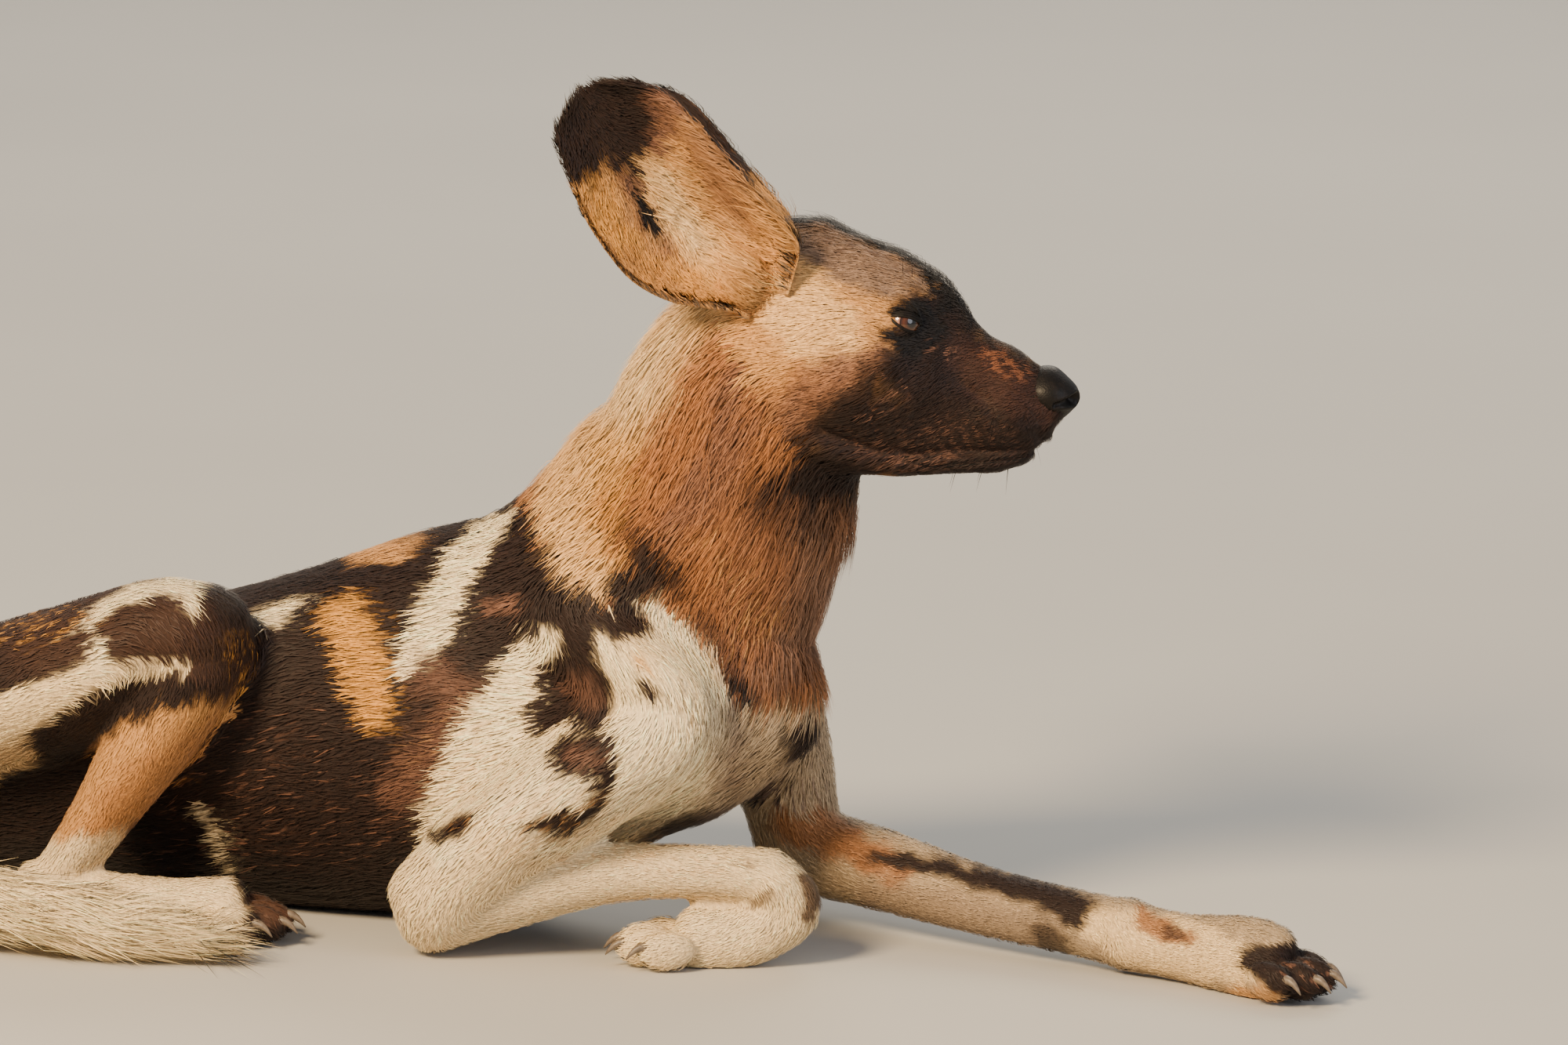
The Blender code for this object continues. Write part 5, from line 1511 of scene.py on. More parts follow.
@dataclass
class Skin:
    """The skin under the coat: trunk, neck, tail and legs, the head, and the ears, as one piece."""

    body_voxel: float = 0.0030
    foot_voxel: float = 0.0018
    head_voxel: float = 0.0014
    foot_smoothing: int = 3
    head_smoothing: int = 5
    body_smoothing: int = 8
    body_triangles: int = 56000
    foot_triangles: int = 26000
    head_triangles: int = 84000

    def body(self) -> bpy.types.Object:
        """Trunk, neck, tail and legs down to the feet.

        Returns:
            The body's object.
        """
        bm = bmesh.new()
        rings = [
            (*along(behind, 0.0, level), wide, top - level, level - low)
            for behind, top, level, low, wide in TORSO
        ]
        add_tube(bm, rings, (0, 0, 1), 48, 5, 0.5)
        add_tube(bm, NECK, NECK_UP, 44, 6, 0.4)
        add_tube(bm, [(x, y, z, r, r, r) for x, y, z, r in TAIL], (0, 0, 1), 24, 6, 0.9)
        for plan in LEGS.values():
            for name, rows in plan.items():
                if name != "toes":
                    add_tube(bm, rows, LEG_UP, 28, 5, 0.7)
        return fuse("body", bm, self.body_voxel, self.body_smoothing, self.body_triangles)

    def feet(self) -> bpy.types.Object:
        """The four feet with their toes, finer than the rest.

        Returns:
            The feet's object.
        """
        bm = bmesh.new()
        for plan in LEGS.values():
            rows = plan["paw"] if "paw" in plan else plan["foot"]
            add_tube(bm, rows, LEG_UP, 28, 6, 0.7)
            frame = toe_frame(plan["toes"])
            for forward, aside in TOE_SPOTS:
                spot = frame @ Vector((forward, aside, 0.0))
                fan = Matrix.Rotation(math.radians(TOE_FAN * aside), 4, "Z")
                add_blob(bm, spot, TOE_RADII, frame.to_3x3().to_4x4() @ fan)
        return fuse("feet", bm, self.foot_voxel, self.foot_smoothing, self.foot_triangles)

    def head(self) -> bpy.types.Object:
        """Skull, muzzle, lower jaw and the top of the neck.

        Returns:
            The head's object.
        """
        bm = bmesh.new()
        for table, sides, blunt in ((SKULL, 48, 0.5), (JAW, 36, 0.6)):
            rings = [(f, 0.0, level, wide, top - level, level - low) for f, top, level, low, wide in table]
            add_tube(bm, rings, (0, 0, 1), sides, 6, blunt, ahead=(1, 0, 0))
        bm.transform(head_matrix())
        add_tube(bm, NECK[2:], NECK_UP, 44, 6, 0.4)
        for side in Side:
            add_blob(bm, eye_centre(side), (EYE_RADIUS + LID,) * 3)
        made = fuse("head", bm, self.head_voxel, self.head_smoothing, self.head_triangles)
        self.shape_face(made)
        return made

    def groove(self, flat: np.ndarray, line: tuple, steps: int, depth: float, half: float) -> np.ndarray:
        """How deep a groove along a line of the profile sinks each place.

        Args:
            flat: N places of the head's frame, moved to its middle plane.
            line: the groove's line, forward and up.
            steps: how many points the line's curve has for each given one.
            depth: how deep the groove is in its middle.
            half: half its width.

        Returns:
            N depths.
        """
        curve = Line(smooth_rows([(x, 0.0, z) for x, z in line], steps))
        gap = np.linalg.norm(flat - curve.nearest(flat)[1], axis=1)
        return depth * np.clip(1 - (gap / half) ** 2, 0, None)

    def shape_face(self, obj: bpy.types.Object) -> None:
        """Raises brows and cheeks, sinks the mouth and folds, slims the muzzle's end and opens the lids.

        Args:
            obj: the head's object.
        """
        places = vertex_table(obj.data)
        normals = vertex_table(obj.data, normals=True)
        for forward, aside, up, radius, height in HEAD_FORMS:
            for side in Side if aside else (Side.LEFT,):
                spot = np.array(head_matrix() @ on_side((forward, aside, up), side))
                share = np.linalg.norm(places - spot, axis=1) / radius
                places = places + normals * (height * np.clip(1 - share**2, 0, None) ** 2)[:, None]
        own = moved(places, head_matrix().inverted())
        forward, up = own[:, 0], own[:, 2]
        flat = own * np.array([1.0, 0.0, 1.0])
        sink = self.groove(flat, MOUTH, 8, MOUTH_DEPTH, MOUTH_HALF)
        sink = sink * (forward > MOUTH_ENDS[0]) * (forward < MOUTH_ENDS[1])
        places = places - normals * sink[:, None]
        taper = smoothstep(*TAPER_ENDS, forward) * smoothstep(*TAPER_LEVELS, up)
        drop = TOP_DROP * taper * (up > TOP_LEVEL)
        lip = LIP_BACK * np.exp(-(((up - LIP_LEVEL) / LIP_SPAN) ** 2)) * smoothstep(*LIP_ENDS, forward)
        chin = CHIN_BACK * smoothstep(*CHIN_LEVELS, up) * smoothstep(*CHIN_ENDS, forward)
        move = np.stack([-lip - chin, -TAPER_SHARE * taper * own[:, 1], -drop], axis=1)
        places = places + move @ np.array(head_matrix())[:3, :3].T
        for fold in FACE_FOLDS:
            places = places - normals * self.groove(flat, fold, 6, FOLD_DEPTH, FOLD_HALF)[:, None]
        set_places(obj.data, places)
        bm = bmesh.new()
        bm.from_mesh(obj.data)
        for side in Side:
            frame = eye_frame(side).inverted()
            inside = []
            for vertex in bm.verts:
                spot = frame @ vertex.co
                x, y = spot.x / (EYE_SLOT[0] * SLOT_CUT), spot.y / (EYE_SLOT[1] * SLOT_CUT)
                if spot.z > 0 and x * x + y * y < 1:
                    inside.append(vertex)
            bmesh.ops.delete(bm, geom=inside, context="VERTS")
        bm.to_mesh(obj.data)
        bm.free()

    def ear(self, side: Side) -> bpy.types.Object:
        """One ear: a bent grid made solid.

        Args:
            side: which ear.

        Returns:
            The ear's object.
        """
        bm = bmesh.new()
        bmesh.ops.create_grid(bm, x_segments=EAR_CELLS[0], y_segments=EAR_CELLS[1], size=1.0)
        verts = list(bm.verts)
        start, end = EAR_ENDS
        share = np.array([start + (end - start) * (v.co.y + 1) / 2 for v in verts])
        across = np.array([v.co.x for v in verts])
        fold = np.zeros(len(verts))
        for height, middle, half, stop in EAR_FOLDS:
            fold += height * np.exp(-(((across - middle) / half) ** 2)) * np.clip(1 - share / stop, 0, 1)
        spots = EarShape(side).place(np.stack([share, across, fold], axis=1))
        for vertex, spot in zip(verts, spots):
            vertex.co = spot
        bmesh.ops.solidify(bm, geom=bm.faces[:] + bm.edges[:] + bm.verts[:], thickness=EAR_WALL)
        root, ahead, opens, _front, _length = EarShape(side).axes()
        for vertex in bm.verts:
            vertex.co += Vector(opens * EAR_WALL / 2)
        add_blob(bm, Vector(root - opens * EAR_ROOT_DEPTH), EAR_ROOT_RADII, facing(Vector(ahead)))
        return to_object(f"ear_{side.name.lower()}", bm)

    def build(self) -> bpy.types.Object:
        """All of the skin as one object, not yet sunk under the coat.

        Returns:
            The skin's object.
        """
        parts = [self.body(), self.feet(), self.head(), self.ear(Side.RIGHT), self.ear(Side.LEFT)]
        bm = bmesh.new()
        for part in parts:
            bm.from_mesh(part.data)
            bpy.data.objects.remove(part)
        bmesh.ops.triangulate(bm, faces=bm.faces)
        mesh = bpy.data.meshes.new("skin")
        bm.to_mesh(mesh)
        bm.free()
        made = bpy.data.objects.new("skin", mesh)
        bpy.context.scene.collection.objects.link(made)
        mesh.shade_smooth()
        return made


@dataclass(frozen=True)
class CoatPlan:
    """The coat of one region in metres: hair length, tuft width, rise of its tips, how deep the skin
    lies, and tufts to the square metre."""

    length: float
    width: float
    rise: float
    depth: float
    per_area: float


COAT_PLANS = {
    Region.HEAD: CoatPlan(0.0100, 0.0009, 0.0013, 0.0009, 900000),
    Region.EAR_INNER_RIGHT: CoatPlan(0.0125, 0.0008, 0.0028, 0.0, 900000),
    Region.EAR_INNER_LEFT: CoatPlan(0.0125, 0.0009, 0.0028, 0.0, 560000),
    Region.EAR_BACK_RIGHT: CoatPlan(0.0070, 0.0009, 0.0009, 0.0, 500000),
    Region.EAR_BACK_LEFT: CoatPlan(0.0070, 0.0010, 0.0009, 0.0, 420000),
    Region.NECK: CoatPlan(0.0300, 0.0008, 0.0050, 0.0032, 600000),
    Region.TRUNK: CoatPlan(0.0150, 0.0010, 0.0017, 0.0020, 300000),
    Region.FORE_RIGHT: CoatPlan(0.0115, 0.0009, 0.0016, 0.0015, 330000),
    Region.FORE_LEFT: CoatPlan(0.0105, 0.0009, 0.0015, 0.0014, 330000),
    Region.HIND_RIGHT: CoatPlan(0.0115, 0.0010, 0.0013, 0.0015, 300000),
    Region.HIND_LEFT: CoatPlan(0.0115, 0.0011, 0.0013, 0.0015, 180000),
    Region.TAIL: CoatPlan(0.0520, 0.0009, 0.0078, 0.0005, 840000),
}


# Rounds of evening out for creases, for the hair's lie and for the coat's measures
CREASE_ROUNDS, EDGE_ROUNDS, LIE_ROUNDS, SIZE_ROUNDS = 46, 26, 24, 22
# How much less length, width, rise, depth and density the coat has on the muzzle and low on the legs
MUZZLE_LESS = (0.45, 0.25, 0.45, 0.0, 0.0)
LOW_LEG_LESS = (0.50, 0.22, 0.25, 0.40, -0.80)
# How much more length and rise it has on the crown's line and deep inside the ear
CROWN_MORE, INNER_EAR_MORE = (0.7, 3.4), (1.4, 1.2)


@dataclass
class Hide:
    """The skin's surface in numbers: places, normals, regions, lie and coat measures at its vertices."""

    obj: bpy.types.Object
    shift: Vector
    nodes: dict
    places: np.ndarray = field(init=False)
    normals: np.ndarray = field(init=False)
    regions: np.ndarray = field(init=False)
    lie: np.ndarray = field(init=False)
    sizes: np.ndarray = field(init=False)
    faces: np.ndarray = field(init=False)
    edges: np.ndarray = field(init=False)

    def __post_init__(self) -> None:
        """Reads the mesh and works out regions, lie and sizes."""
        mesh = self.obj.data
        self.places = vertex_table(mesh)
        self.normals = vertex_table(mesh, normals=True)
        self.faces = np.zeros(len(mesh.polygons) * 3, np.int32)
        mesh.polygons.foreach_get("vertices", self.faces)
        self.faces = self.faces.reshape(-1, 3)
        self.edges = np.zeros(len(mesh.edges) * 2, np.int32)
        mesh.edges.foreach_get("vertices", self.edges)
        self.edges = self.edges.reshape(-1, 2)
        self.regions = self.find_regions()
        self.ease_creases()
        self.lie = self.find_lie()
        self.sizes = self.find_sizes()

    def find_regions(self) -> np.ndarray:
        """The region of each vertex, from the nearest solid of the frame.

        Returns:
            N region numbers.
        """
        named = []
        for name, obj in self.nodes.items():
            region = NODE_REGIONS.get(name)
            if region is None and name[:4] in ("fore", "hind"):
                region = LEG_REGIONS["_".join(name.split("_")[:2])]
            if name.startswith("ear_"):
                region = ear_region(Side[name[4:].upper()], inner=True)
            if region is not None:
                points = vertex_table(obj.data) - np.array(self.shift)
                points = np.vstack([points, self.face_middles(obj, points)])
                named += [(point, region.value) for point in points]
        tree = kdtree.KDTree(len(named))
        for i, (point, _region) in enumerate(named):
            tree.insert(point, i)
        tree.balance()
        found = np.array([named[tree.find(place)[1]][1] for place in self.places])
        for side in Side:
            inner = found == ear_region(side, inner=True).value
            opens = EarShape(side).axes()[2]
            found[inner & (self.normals @ opens < 0)] = ear_region(side, inner=False).value
        return found

    def face_middles(self, obj: bpy.types.Object, points: np.ndarray) -> np.ndarray:
        """The middles of a solid's triangles.

        Args:
            obj: the solid.
            points: the places of its vertices.

        Returns:
            A point for each triangle.
        """
        corners = np.zeros(len(obj.data.polygons) * 3, np.int32)
        obj.data.polygons.foreach_get("vertices", corners)
        return points[corners.reshape(-1, 3)].mean(axis=1)

    def spread(self, values: np.ndarray, rounds: int) -> np.ndarray:
        """The values evened out over the surface, by averaging neighbours.

        Args:
            values: a row of numbers for each vertex.
            rounds: how many times to average.

        Returns:
            The evened values.
        """
        a, b = self.edges[:, 0], self.edges[:, 1]
        count = np.bincount(a, minlength=len(values)) + np.bincount(b, minlength=len(values)) + 1.0
        for _ in range(rounds):
            total = values.copy()
            for k in range(values.shape[1]):
                total[:, k] += np.bincount(a, values[b, k], len(values))
                total[:, k] += np.bincount(b, values[a, k], len(values))
            values = total / count[:, None]
        return values

    def ease_creases(self) -> None:
        """Softens the creases where limbs and neck leave the trunk, as muscle and loose skin do."""
        body = [TRUNK.value, NECK_R.value, HEAD.value, *(region.value for region in LEG_REGIONS.values())]
        a, b = self.edges[:, 0], self.edges[:, 1]
        crossing = (self.regions[a] != self.regions[b]) & np.isin(self.regions[a], body)
        crossing &= np.isin(self.regions[b], body)
        mask = np.zeros((len(self.places), 1))
        mask[a[crossing]] = mask[b[crossing]] = 1.0
        mask = np.clip(self.spread(mask, EDGE_ROUNDS) * 6.0, 0.0, 1.0)
        mask[:, 0] *= smoothstep(0.004, 0.030, self.places[:, 2])
        for _ in range(CREASE_ROUNDS):
            self.places = self.places + mask * (self.spread(self.places, 1) - self.places)
        set_places(self.obj.data, self.places)
        self.normals = vertex_table(self.obj.data, normals=True)

    def find_lie(self) -> np.ndarray:
        """The way that the hair lies at each vertex.

        Returns:
            N ways along the surface.
        """
        lie = np.zeros_like(self.places)
        lines = {region: leg_line(leg) for leg, region in LEG_REGIONS.items()}
        lines[Region.NECK] = Line(np.array(NECK)[::-1, :3])
        lines[Region.TAIL] = Line(np.array(TAIL)[:, :3])
        for region, line in lines.items():
            chosen = self.regions == region.value
            if chosen.any():
                lie[chosen] = line.nearest(self.places[chosen])[2]
        yaw = math.radians(BODY_YAW)
        back = np.array([-math.cos(yaw), math.sin(yaw), -0.22])
        lie[self.regions == Region.TRUNK.value] = unit(back)
        skull = self.regions == Region.HEAD.value
        own = moved(self.places, head_matrix().inverted())
        way = np.zeros_like(own)
        way[:, 0] = -1.0
        way[:, 1] = np.sign(own[:, 1]) * 0.35 * np.clip(1 - abs(own[:, 1]) / 0.05, 0, 1)
        way[:, 2] = -0.35 * smoothstep(0.02, -0.05, own[:, 2]) - 0.10
        turn = np.array(head_matrix())[:3, :3]
        lie[skull] = unit(way @ turn.T)[skull]
        for side in Side:
            _root, ahead, _opens, front, _length = EarShape(side).axes()
            local = EarShape(side).local(self.places)
            inner = self.regions == ear_region(side, inner=True).value
            outwards = np.outer(0.9 - 0.3 * local[:, 0], ahead)
            across = np.outer(0.75 * np.clip(local[:, 1] + 0.4, -0.6, 1.2), front)
            lie[inner] = unit(outwards - across)[inner]
            lie[self.regions == ear_region(side, inner=False).value] = ahead
        lie = self.spread(lie, LIE_ROUNDS)
        lie = lie - self.normals * (lie * self.normals).sum(axis=1, keepdims=True)
        return unit(lie)

    def find_sizes(self) -> np.ndarray:
        """The coat's measures at each vertex, evened out.

        Returns:
            N rows of length, width, rise, depth and density.
        """
        table = np.zeros((len(self.places), 5))
        for region, plan in COAT_PLANS.items():
            chosen = self.regions == region.value
            table[chosen] = (plan.length, plan.width, plan.rise, plan.depth, plan.per_area)
        own = moved(self.places, head_matrix().inverted())
        face = (self.regions == Region.HEAD.value) * smoothstep(0.02, 0.11, own[:, 0])
        table *= 1 - np.outer(face, MUZZLE_LESS)
        bristle = crown_share(self.places) * (self.regions == Region.HEAD.value)
        table[:, [0, 2]] *= 1 + np.outer(bristle, CROWN_MORE)
        for leg, region in LEG_REGIONS.items():
            chosen = self.regions == region.value
            share = leg_line(leg).nearest(self.places[chosen])[0]
            table[chosen] *= 1 - np.outer(smoothstep(0.35, 0.60, share), LOW_LEG_LESS)
        neck = self.regions == Region.NECK.value
        share = Line(np.array(NECK)[:, :3]).nearest(self.places[neck])[0]
        full = 0.55 + 0.45 * smoothstep(0.0, 0.45, share)
        table[neck, 0] *= full
        table[neck, 2] *= full
        tail = self.regions == Region.TAIL.value
        share = Line(np.array(TAIL)[:, :3]).nearest(self.places[tail])[0]
        brush = smoothstep(0.38, 0.50, share)
        table[tail, 0] *= 0.40 + 0.60 * brush
        table[tail, 2] *= 0.20 + 0.80 * brush
        for side in Side:
            inner = self.regions == ear_region(side, inner=True).value
            local = EarShape(side).local(self.places[inner])
            long_hair = smoothstep(0.75, 0.35, local[:, 0]) * smoothstep(-0.5, 0.1, local[:, 1])
            table[np.ix_(inner, (0, 2))] *= 1 + np.outer(long_hair, INNER_EAR_MORE)
        return self.spread(table, SIZE_ROUNDS)

    def sink(self) -> None:
        """Sinks the skin under the coat by the coat's depth."""
        self.places = self.places - self.normals * self.sizes[:, 3:4]
        self.places[:, 2] = np.maximum(self.places[:, 2], SKIN_FLOOR)
        set_places(self.obj.data, self.places)
        self.normals = vertex_table(self.obj.data, normals=True)


# A tuft from root to tip: share of its length, share of its rise, share of its width
TUFT_RINGS = ((0.0, -0.10, 0.0), (0.36, 0.85, 1.0), (1.0, 0.80, 0.0))
# The corners of its middle ring: across the tuft and out of the skin
TUFT_CORNERS = ((1.0, -0.10), (0.0, 0.34), (-1.0, -0.10))
# Its triangles: root 0, corners 1 to 3, tip 4
TUFT_FACES = np.array(
    [(0, 1 + (k + 1) % 3, 1 + k) for k in range(3)] + [(1 + k, 1 + (k + 1) % 3, 4) for k in range(3)]
)
# How far its root lies in the skin, and its tone from root to tip: painted shade at the root, painted light
# at the tip
ROOT_SINK = 0.0006
TUFT_ROOT_PAINTED_SHADE, TUFT_TIP_PAINTED_LIGHT = 0.86, 1.10
# Brightest and darkest share of the coat's colour, and the lightest colour of all
TONE_RANGE, LIGHTEST = (0.45, 1.5), 0.95
# Waves in metres over which tufts turn together and stand in clumps
TURN_WAVE, CLUMP_WAVE = 0.045, 0.014
# How far tufts turn together, how far each one turns by itself, and how far it bends aside
TURN_TOGETHER, TURN_ALONE, BEND_ASIDE = 0.20, 0.11, 0.07
# A tuft's size in the UV map, across and along, and the map's margin and span
UV_TUFT, UV_MARGIN, UV_SPAN = (0.0015, 0.003), 0.02, 0.95
# How much single tufts differ in brightness, and by how much where the coat is grizzled
EVEN_SPREAD = 0.11
TONE_SPREAD = {
    Region.HEAD: 0.13,
    Region.EAR_INNER_RIGHT: 0.17,
    Region.EAR_INNER_LEFT: 0.17,
    Region.NECK: 0.15,
    Region.TRUNK: 0.13,
    Region.FORE_LEFT: 0.13,
}


@dataclass(frozen=True)
class Spread:
    """How one measure varies from tuft to tuft, as a share of the coat plan's."""

    mean: float
    noise: float
    clump: float
    low: float
    high: float

    def draw(self, chance: np.random.Generator, clump: np.ndarray) -> np.ndarray:
        """One share for each tuft, by chance and by the clump that it stands in."""
        drawn = chance.normal(self.mean, self.noise, len(clump)) + self.clump * clump
        return np.clip(drawn, self.low, self.high)


LENGTH_SPREAD = Spread(1.0, 0.18, 0.14, 0.45, 1.6)
RISE_SPREAD = Spread(0.85, 0.30, 0.35, 0.10, 1.9)
WIDTH_SPREAD = Spread(1.0, 0.20, 0.0, 0.5, 1.5)


@dataclass(frozen=True)
class CoatPiece:
    """One coat piece: its regions, the most tufts it has, its slot (not used) and its stretch along X, if cut
    there.
    """

    name: str
    regions: tuple[Region, ...]
    limit: int
    slot: str = "coat_white"
    part: tuple[float, float] = (-1.0, 1.0)


HEAD_CUT, TRUNK_CUT = 0.045, -0.20
COAT_PIECES = (
    CoatPiece("coat_head", (HEAD,), 26000, "coat_dark", (HEAD_CUT, 1.0)),
    CoatPiece("coat_skull", (HEAD,), 22000, "coat_tan", (-1.0, HEAD_CUT)),
    CoatPiece("coat_ear_right", (Region.EAR_INNER_RIGHT, Region.EAR_BACK_RIGHT), 28000, "coat_tan"),
    CoatPiece("coat_ear_left", (Region.EAR_INNER_LEFT, Region.EAR_BACK_LEFT), 11000, "coat_tan"),
    CoatPiece("coat_neck", (NECK_R,), 32500, "coat_tan"),
    CoatPiece("coat_shoulder", (TRUNK,), 23000, "coat_dark", (TRUNK_CUT, 1.0)),
    CoatPiece("coat_flank", (TRUNK,), 28000, "coat_dark", (-1.0, TRUNK_CUT)),
    CoatPiece("coat_fore_right", (Region.FORE_RIGHT,), 18000),
    CoatPiece("coat_fore_left", (Region.FORE_LEFT,), 17000),
    CoatPiece("coat_hind_right", (Region.HIND_RIGHT,), 18000),
    CoatPiece("coat_hind_left", (Region.HIND_LEFT,), 7500),
    CoatPiece("coat_tail", (Region.TAIL,), 22000),
)


@dataclass
class Tufts:
    """Grows the tufts of one coat piece on the hide."""

    hide: Hide
    markings: MarkingsAndPaintedShade
    piece: CoatPiece
    seed: int

    def roots(self) -> dict[str, np.ndarray]:
        """Evenly spread roots with what the hide says about each.

        Returns:
            Arrays of places, normals, ways, sizes and regions, one row for each root.
        """
        hide = self.hide
        chance = np.random.default_rng(self.seed)
        numbers = [region.value for region in self.piece.regions]
        inside = np.isin(hide.regions[hide.faces], numbers).sum(axis=1) >= 2
        middle = hide.places[hide.faces].mean(axis=1)[:, 0]
        inside &= (middle >= self.piece.part[0]) & (middle < self.piece.part[1])
        faces = hide.faces[inside]
        corners = hide.places[faces]
        across, along_it = corners[:, 1] - corners[:, 0], corners[:, 2] - corners[:, 0]
        area = np.linalg.norm(np.cross(across, along_it), axis=1) / 2
        above_floor = corners[:, :, 2].max(axis=1) > ROOT_FLOOR
        weight = area * hide.sizes[faces][:, :, 4].mean(axis=1) * above_floor
        count = int(min(weight.sum(), self.piece.limit))
        edges = np.concatenate([[0.0], np.cumsum(weight)])
        picks = (np.arange(count) + chance.uniform(0, 1, count)) / count * edges[-1]
        chosen = np.clip(np.searchsorted(edges, picks) - 1, 0, len(faces) - 1)
        a, b = chance.uniform(0, 1, count), chance.uniform(0, 1, count)
        over = a + b > 1
        a[over], b[over] = 1 - a[over], 1 - b[over]
        mix = np.stack([1 - a - b, a, b], axis=1)[:, :, None]
        triangle = faces[chosen]
        result = {
            "place": (hide.places[triangle] * mix).sum(axis=1),
            "normal": unit((hide.normals[triangle] * mix).sum(axis=1)),
            "lie": unit((hide.lie[triangle] * mix).sum(axis=1)),
            "size": (hide.sizes[triangle] * mix).sum(axis=1),
            "region": hide.regions[triangle[:, 0]],
        }
        LOG.info("%s: %d tufts of %d", self.piece.name, count, int(weight.sum()))
        return result

    def unwrap(self, place: np.ndarray, region: np.ndarray) -> np.ndarray:
        """Where each root lies on a cylinder unrolled round its own part of the body.

        Args:
            place: the roots.
            region: the region number of each.

        Returns:
            N rows of two numbers from 0 to 1.
        """
        spots = np.zeros((len(place), 2))
        tiles = len(self.piece.regions)
        for tile, item in enumerate(self.piece.regions):
            chosen = region == item.value
            if not chosen.any():
                continue
            share, spot, way = self.axis(item).nearest(place[chosen])
            offset = place[chosen] - spot
            side = unit(np.cross(way, (0.13, 0.21, 0.97)))
            other = np.cross(way, side)
            turn = np.arctan2((offset * other).sum(axis=1), (offset * side).sum(axis=1)) / (2 * math.pi) + 0.5
            spots[chosen, 0] = (tile + UV_MARGIN + UV_SPAN * turn) / tiles
            spots[chosen, 1] = UV_MARGIN + UV_SPAN * share
        return spots

    def axis(self, region: Region) -> Line:
        """The long axis of one region.

        Args:
            region: the region.

        Returns:
            The axis as a line.
        """
        if region in LEG_REGIONS.values():
            return leg_line(region.name.lower())
        if region == Region.HEAD:
            return Line(moved(np.array([(-0.06, 0, 0), (0.05, 0, -0.02), (0.16, 0, -0.045)]), head_matrix()))
        if region == Region.NECK:
            return Line(np.array(NECK)[:, :3])
        if region == Region.TRUNK:
            return Line(np.array([along(row[0], 0.0, row[2]) for row in TORSO]))
        if region == Region.TAIL:
            return Line(np.array(TAIL)[:, :3])
        ear = EARS[Side[region.name.split("_")[-1]]]
        return Line(np.array([ear["root"], ear["tip"]], float))

    def build(self) -> bpy.types.Object:
        """Grows thin closed tufts that rise from the skin and bend back to its lie.

        Returns:
            The coat piece's object.
        """
        roots = self.roots()
        chance = np.random.default_rng(self.seed + 1)
        place, normal, size = roots["place"], roots["normal"], roots["size"]
        count = len(place)
        yaw = TURN_TOGETHER * ripple(place, TURN_WAVE, self.seed) + chance.normal(0, TURN_ALONE, count)
        side = unit(np.cross(normal, roots["lie"]))
        way = unit(roots["lie"] * np.cos(yaw)[:, None] + side * np.sin(yaw)[:, None])
        side = unit(np.cross(normal, way))
        clump = ripple(place, CLUMP_WAVE, self.seed + 3)
        length = size[:, 0] * LENGTH_SPREAD.draw(chance, clump)
        rise = size[:, 2] * RISE_SPREAD.draw(chance, clump)
        width = size[:, 1] * WIDTH_SPREAD.draw(chance, clump)
        sag = chance.normal(0.0, BEND_ASIDE, count)
        table, uvs, root_tip_painted_shading, aims = [], [], [], []
        root_uv = self.unwrap(place, roots["region"])
        for share, height, breadth in TUFT_RINGS:
            middle = (
                place
                + way * (length * share)[:, None]
                + normal * (rise * height - (ROOT_SINK if share == 0 else 0.0))[:, None]
                + side * (length * sag * share**2)[:, None]
            )
            # Painted shading: the root darker as painted shade deep in the coat, the tip lighter as painted
            # light
            tone = TUFT_ROOT_PAINTED_SHADE + (TUFT_TIP_PAINTED_LIGHT - TUFT_ROOT_PAINTED_SHADE) * share
            for across, upward in TUFT_CORNERS if breadth else ((0.0, 0.0),):
                reach = width * 0.5 * breadth
                table.append(middle + side * (reach * across)[:, None] + normal * (reach * upward)[:, None])
                uvs.append(root_uv + np.array([UV_TUFT[0] * across, UV_TUFT[1] * share]))
                root_tip_painted_shading.append(tone)
                aims.append(unit(normal + side * (0.40 * across) + way * 0.10))
        points = np.stack(table, axis=1)
        per = points.shape[1]
        points[:, :, 2] = np.maximum(points[:, :, 2], TUFT_FLOOR + TUFT_STEP * np.arange(per))
        triangles = (TUFT_FACES[None] + (np.arange(count) * per)[:, None, None]).reshape(-1, 3)
        mesh = self.joined(points, triangles)
        layer = mesh.uv_layers.new(name="OFBake")
        corner_uv = np.stack(uvs, axis=1).reshape(-1, 2)[triangles.ravel()]
        layer.data.foreach_set("uv", corner_uv.ravel().astype(np.float32))
        painted = self.markings.paint(place, roots["region"])
        uneven = np.array([TONE_SPREAD.get(item, EVEN_SPREAD) for item in Region])[roots["region"]]
        bright = np.clip(1.0 + chance.normal(0.0, 1.0, count) * uneven + 0.05 * clump, *TONE_RANGE)
        colours = painted * bright[:, None]
        # Painted shade and light: each tuft darkened at its root and lightened at its tip
        colours = colours[:, None, :] * np.array(root_tip_painted_shading)[None, :, None]
        paint_points(mesh, np.clip(colours, 0.0, LIGHTEST).reshape(-1, 3))
        mesh.shade_smooth()
        mesh.normals_split_custom_set_from_vertices(np.stack(aims, axis=1).reshape(-1, 3))
        made = bpy.data.objects.new(self.piece.name, mesh)
        bpy.context.scene.collection.objects.link(made)
        LOG.info("%s: %d triangles", self.piece.name, len(triangles))
        return made

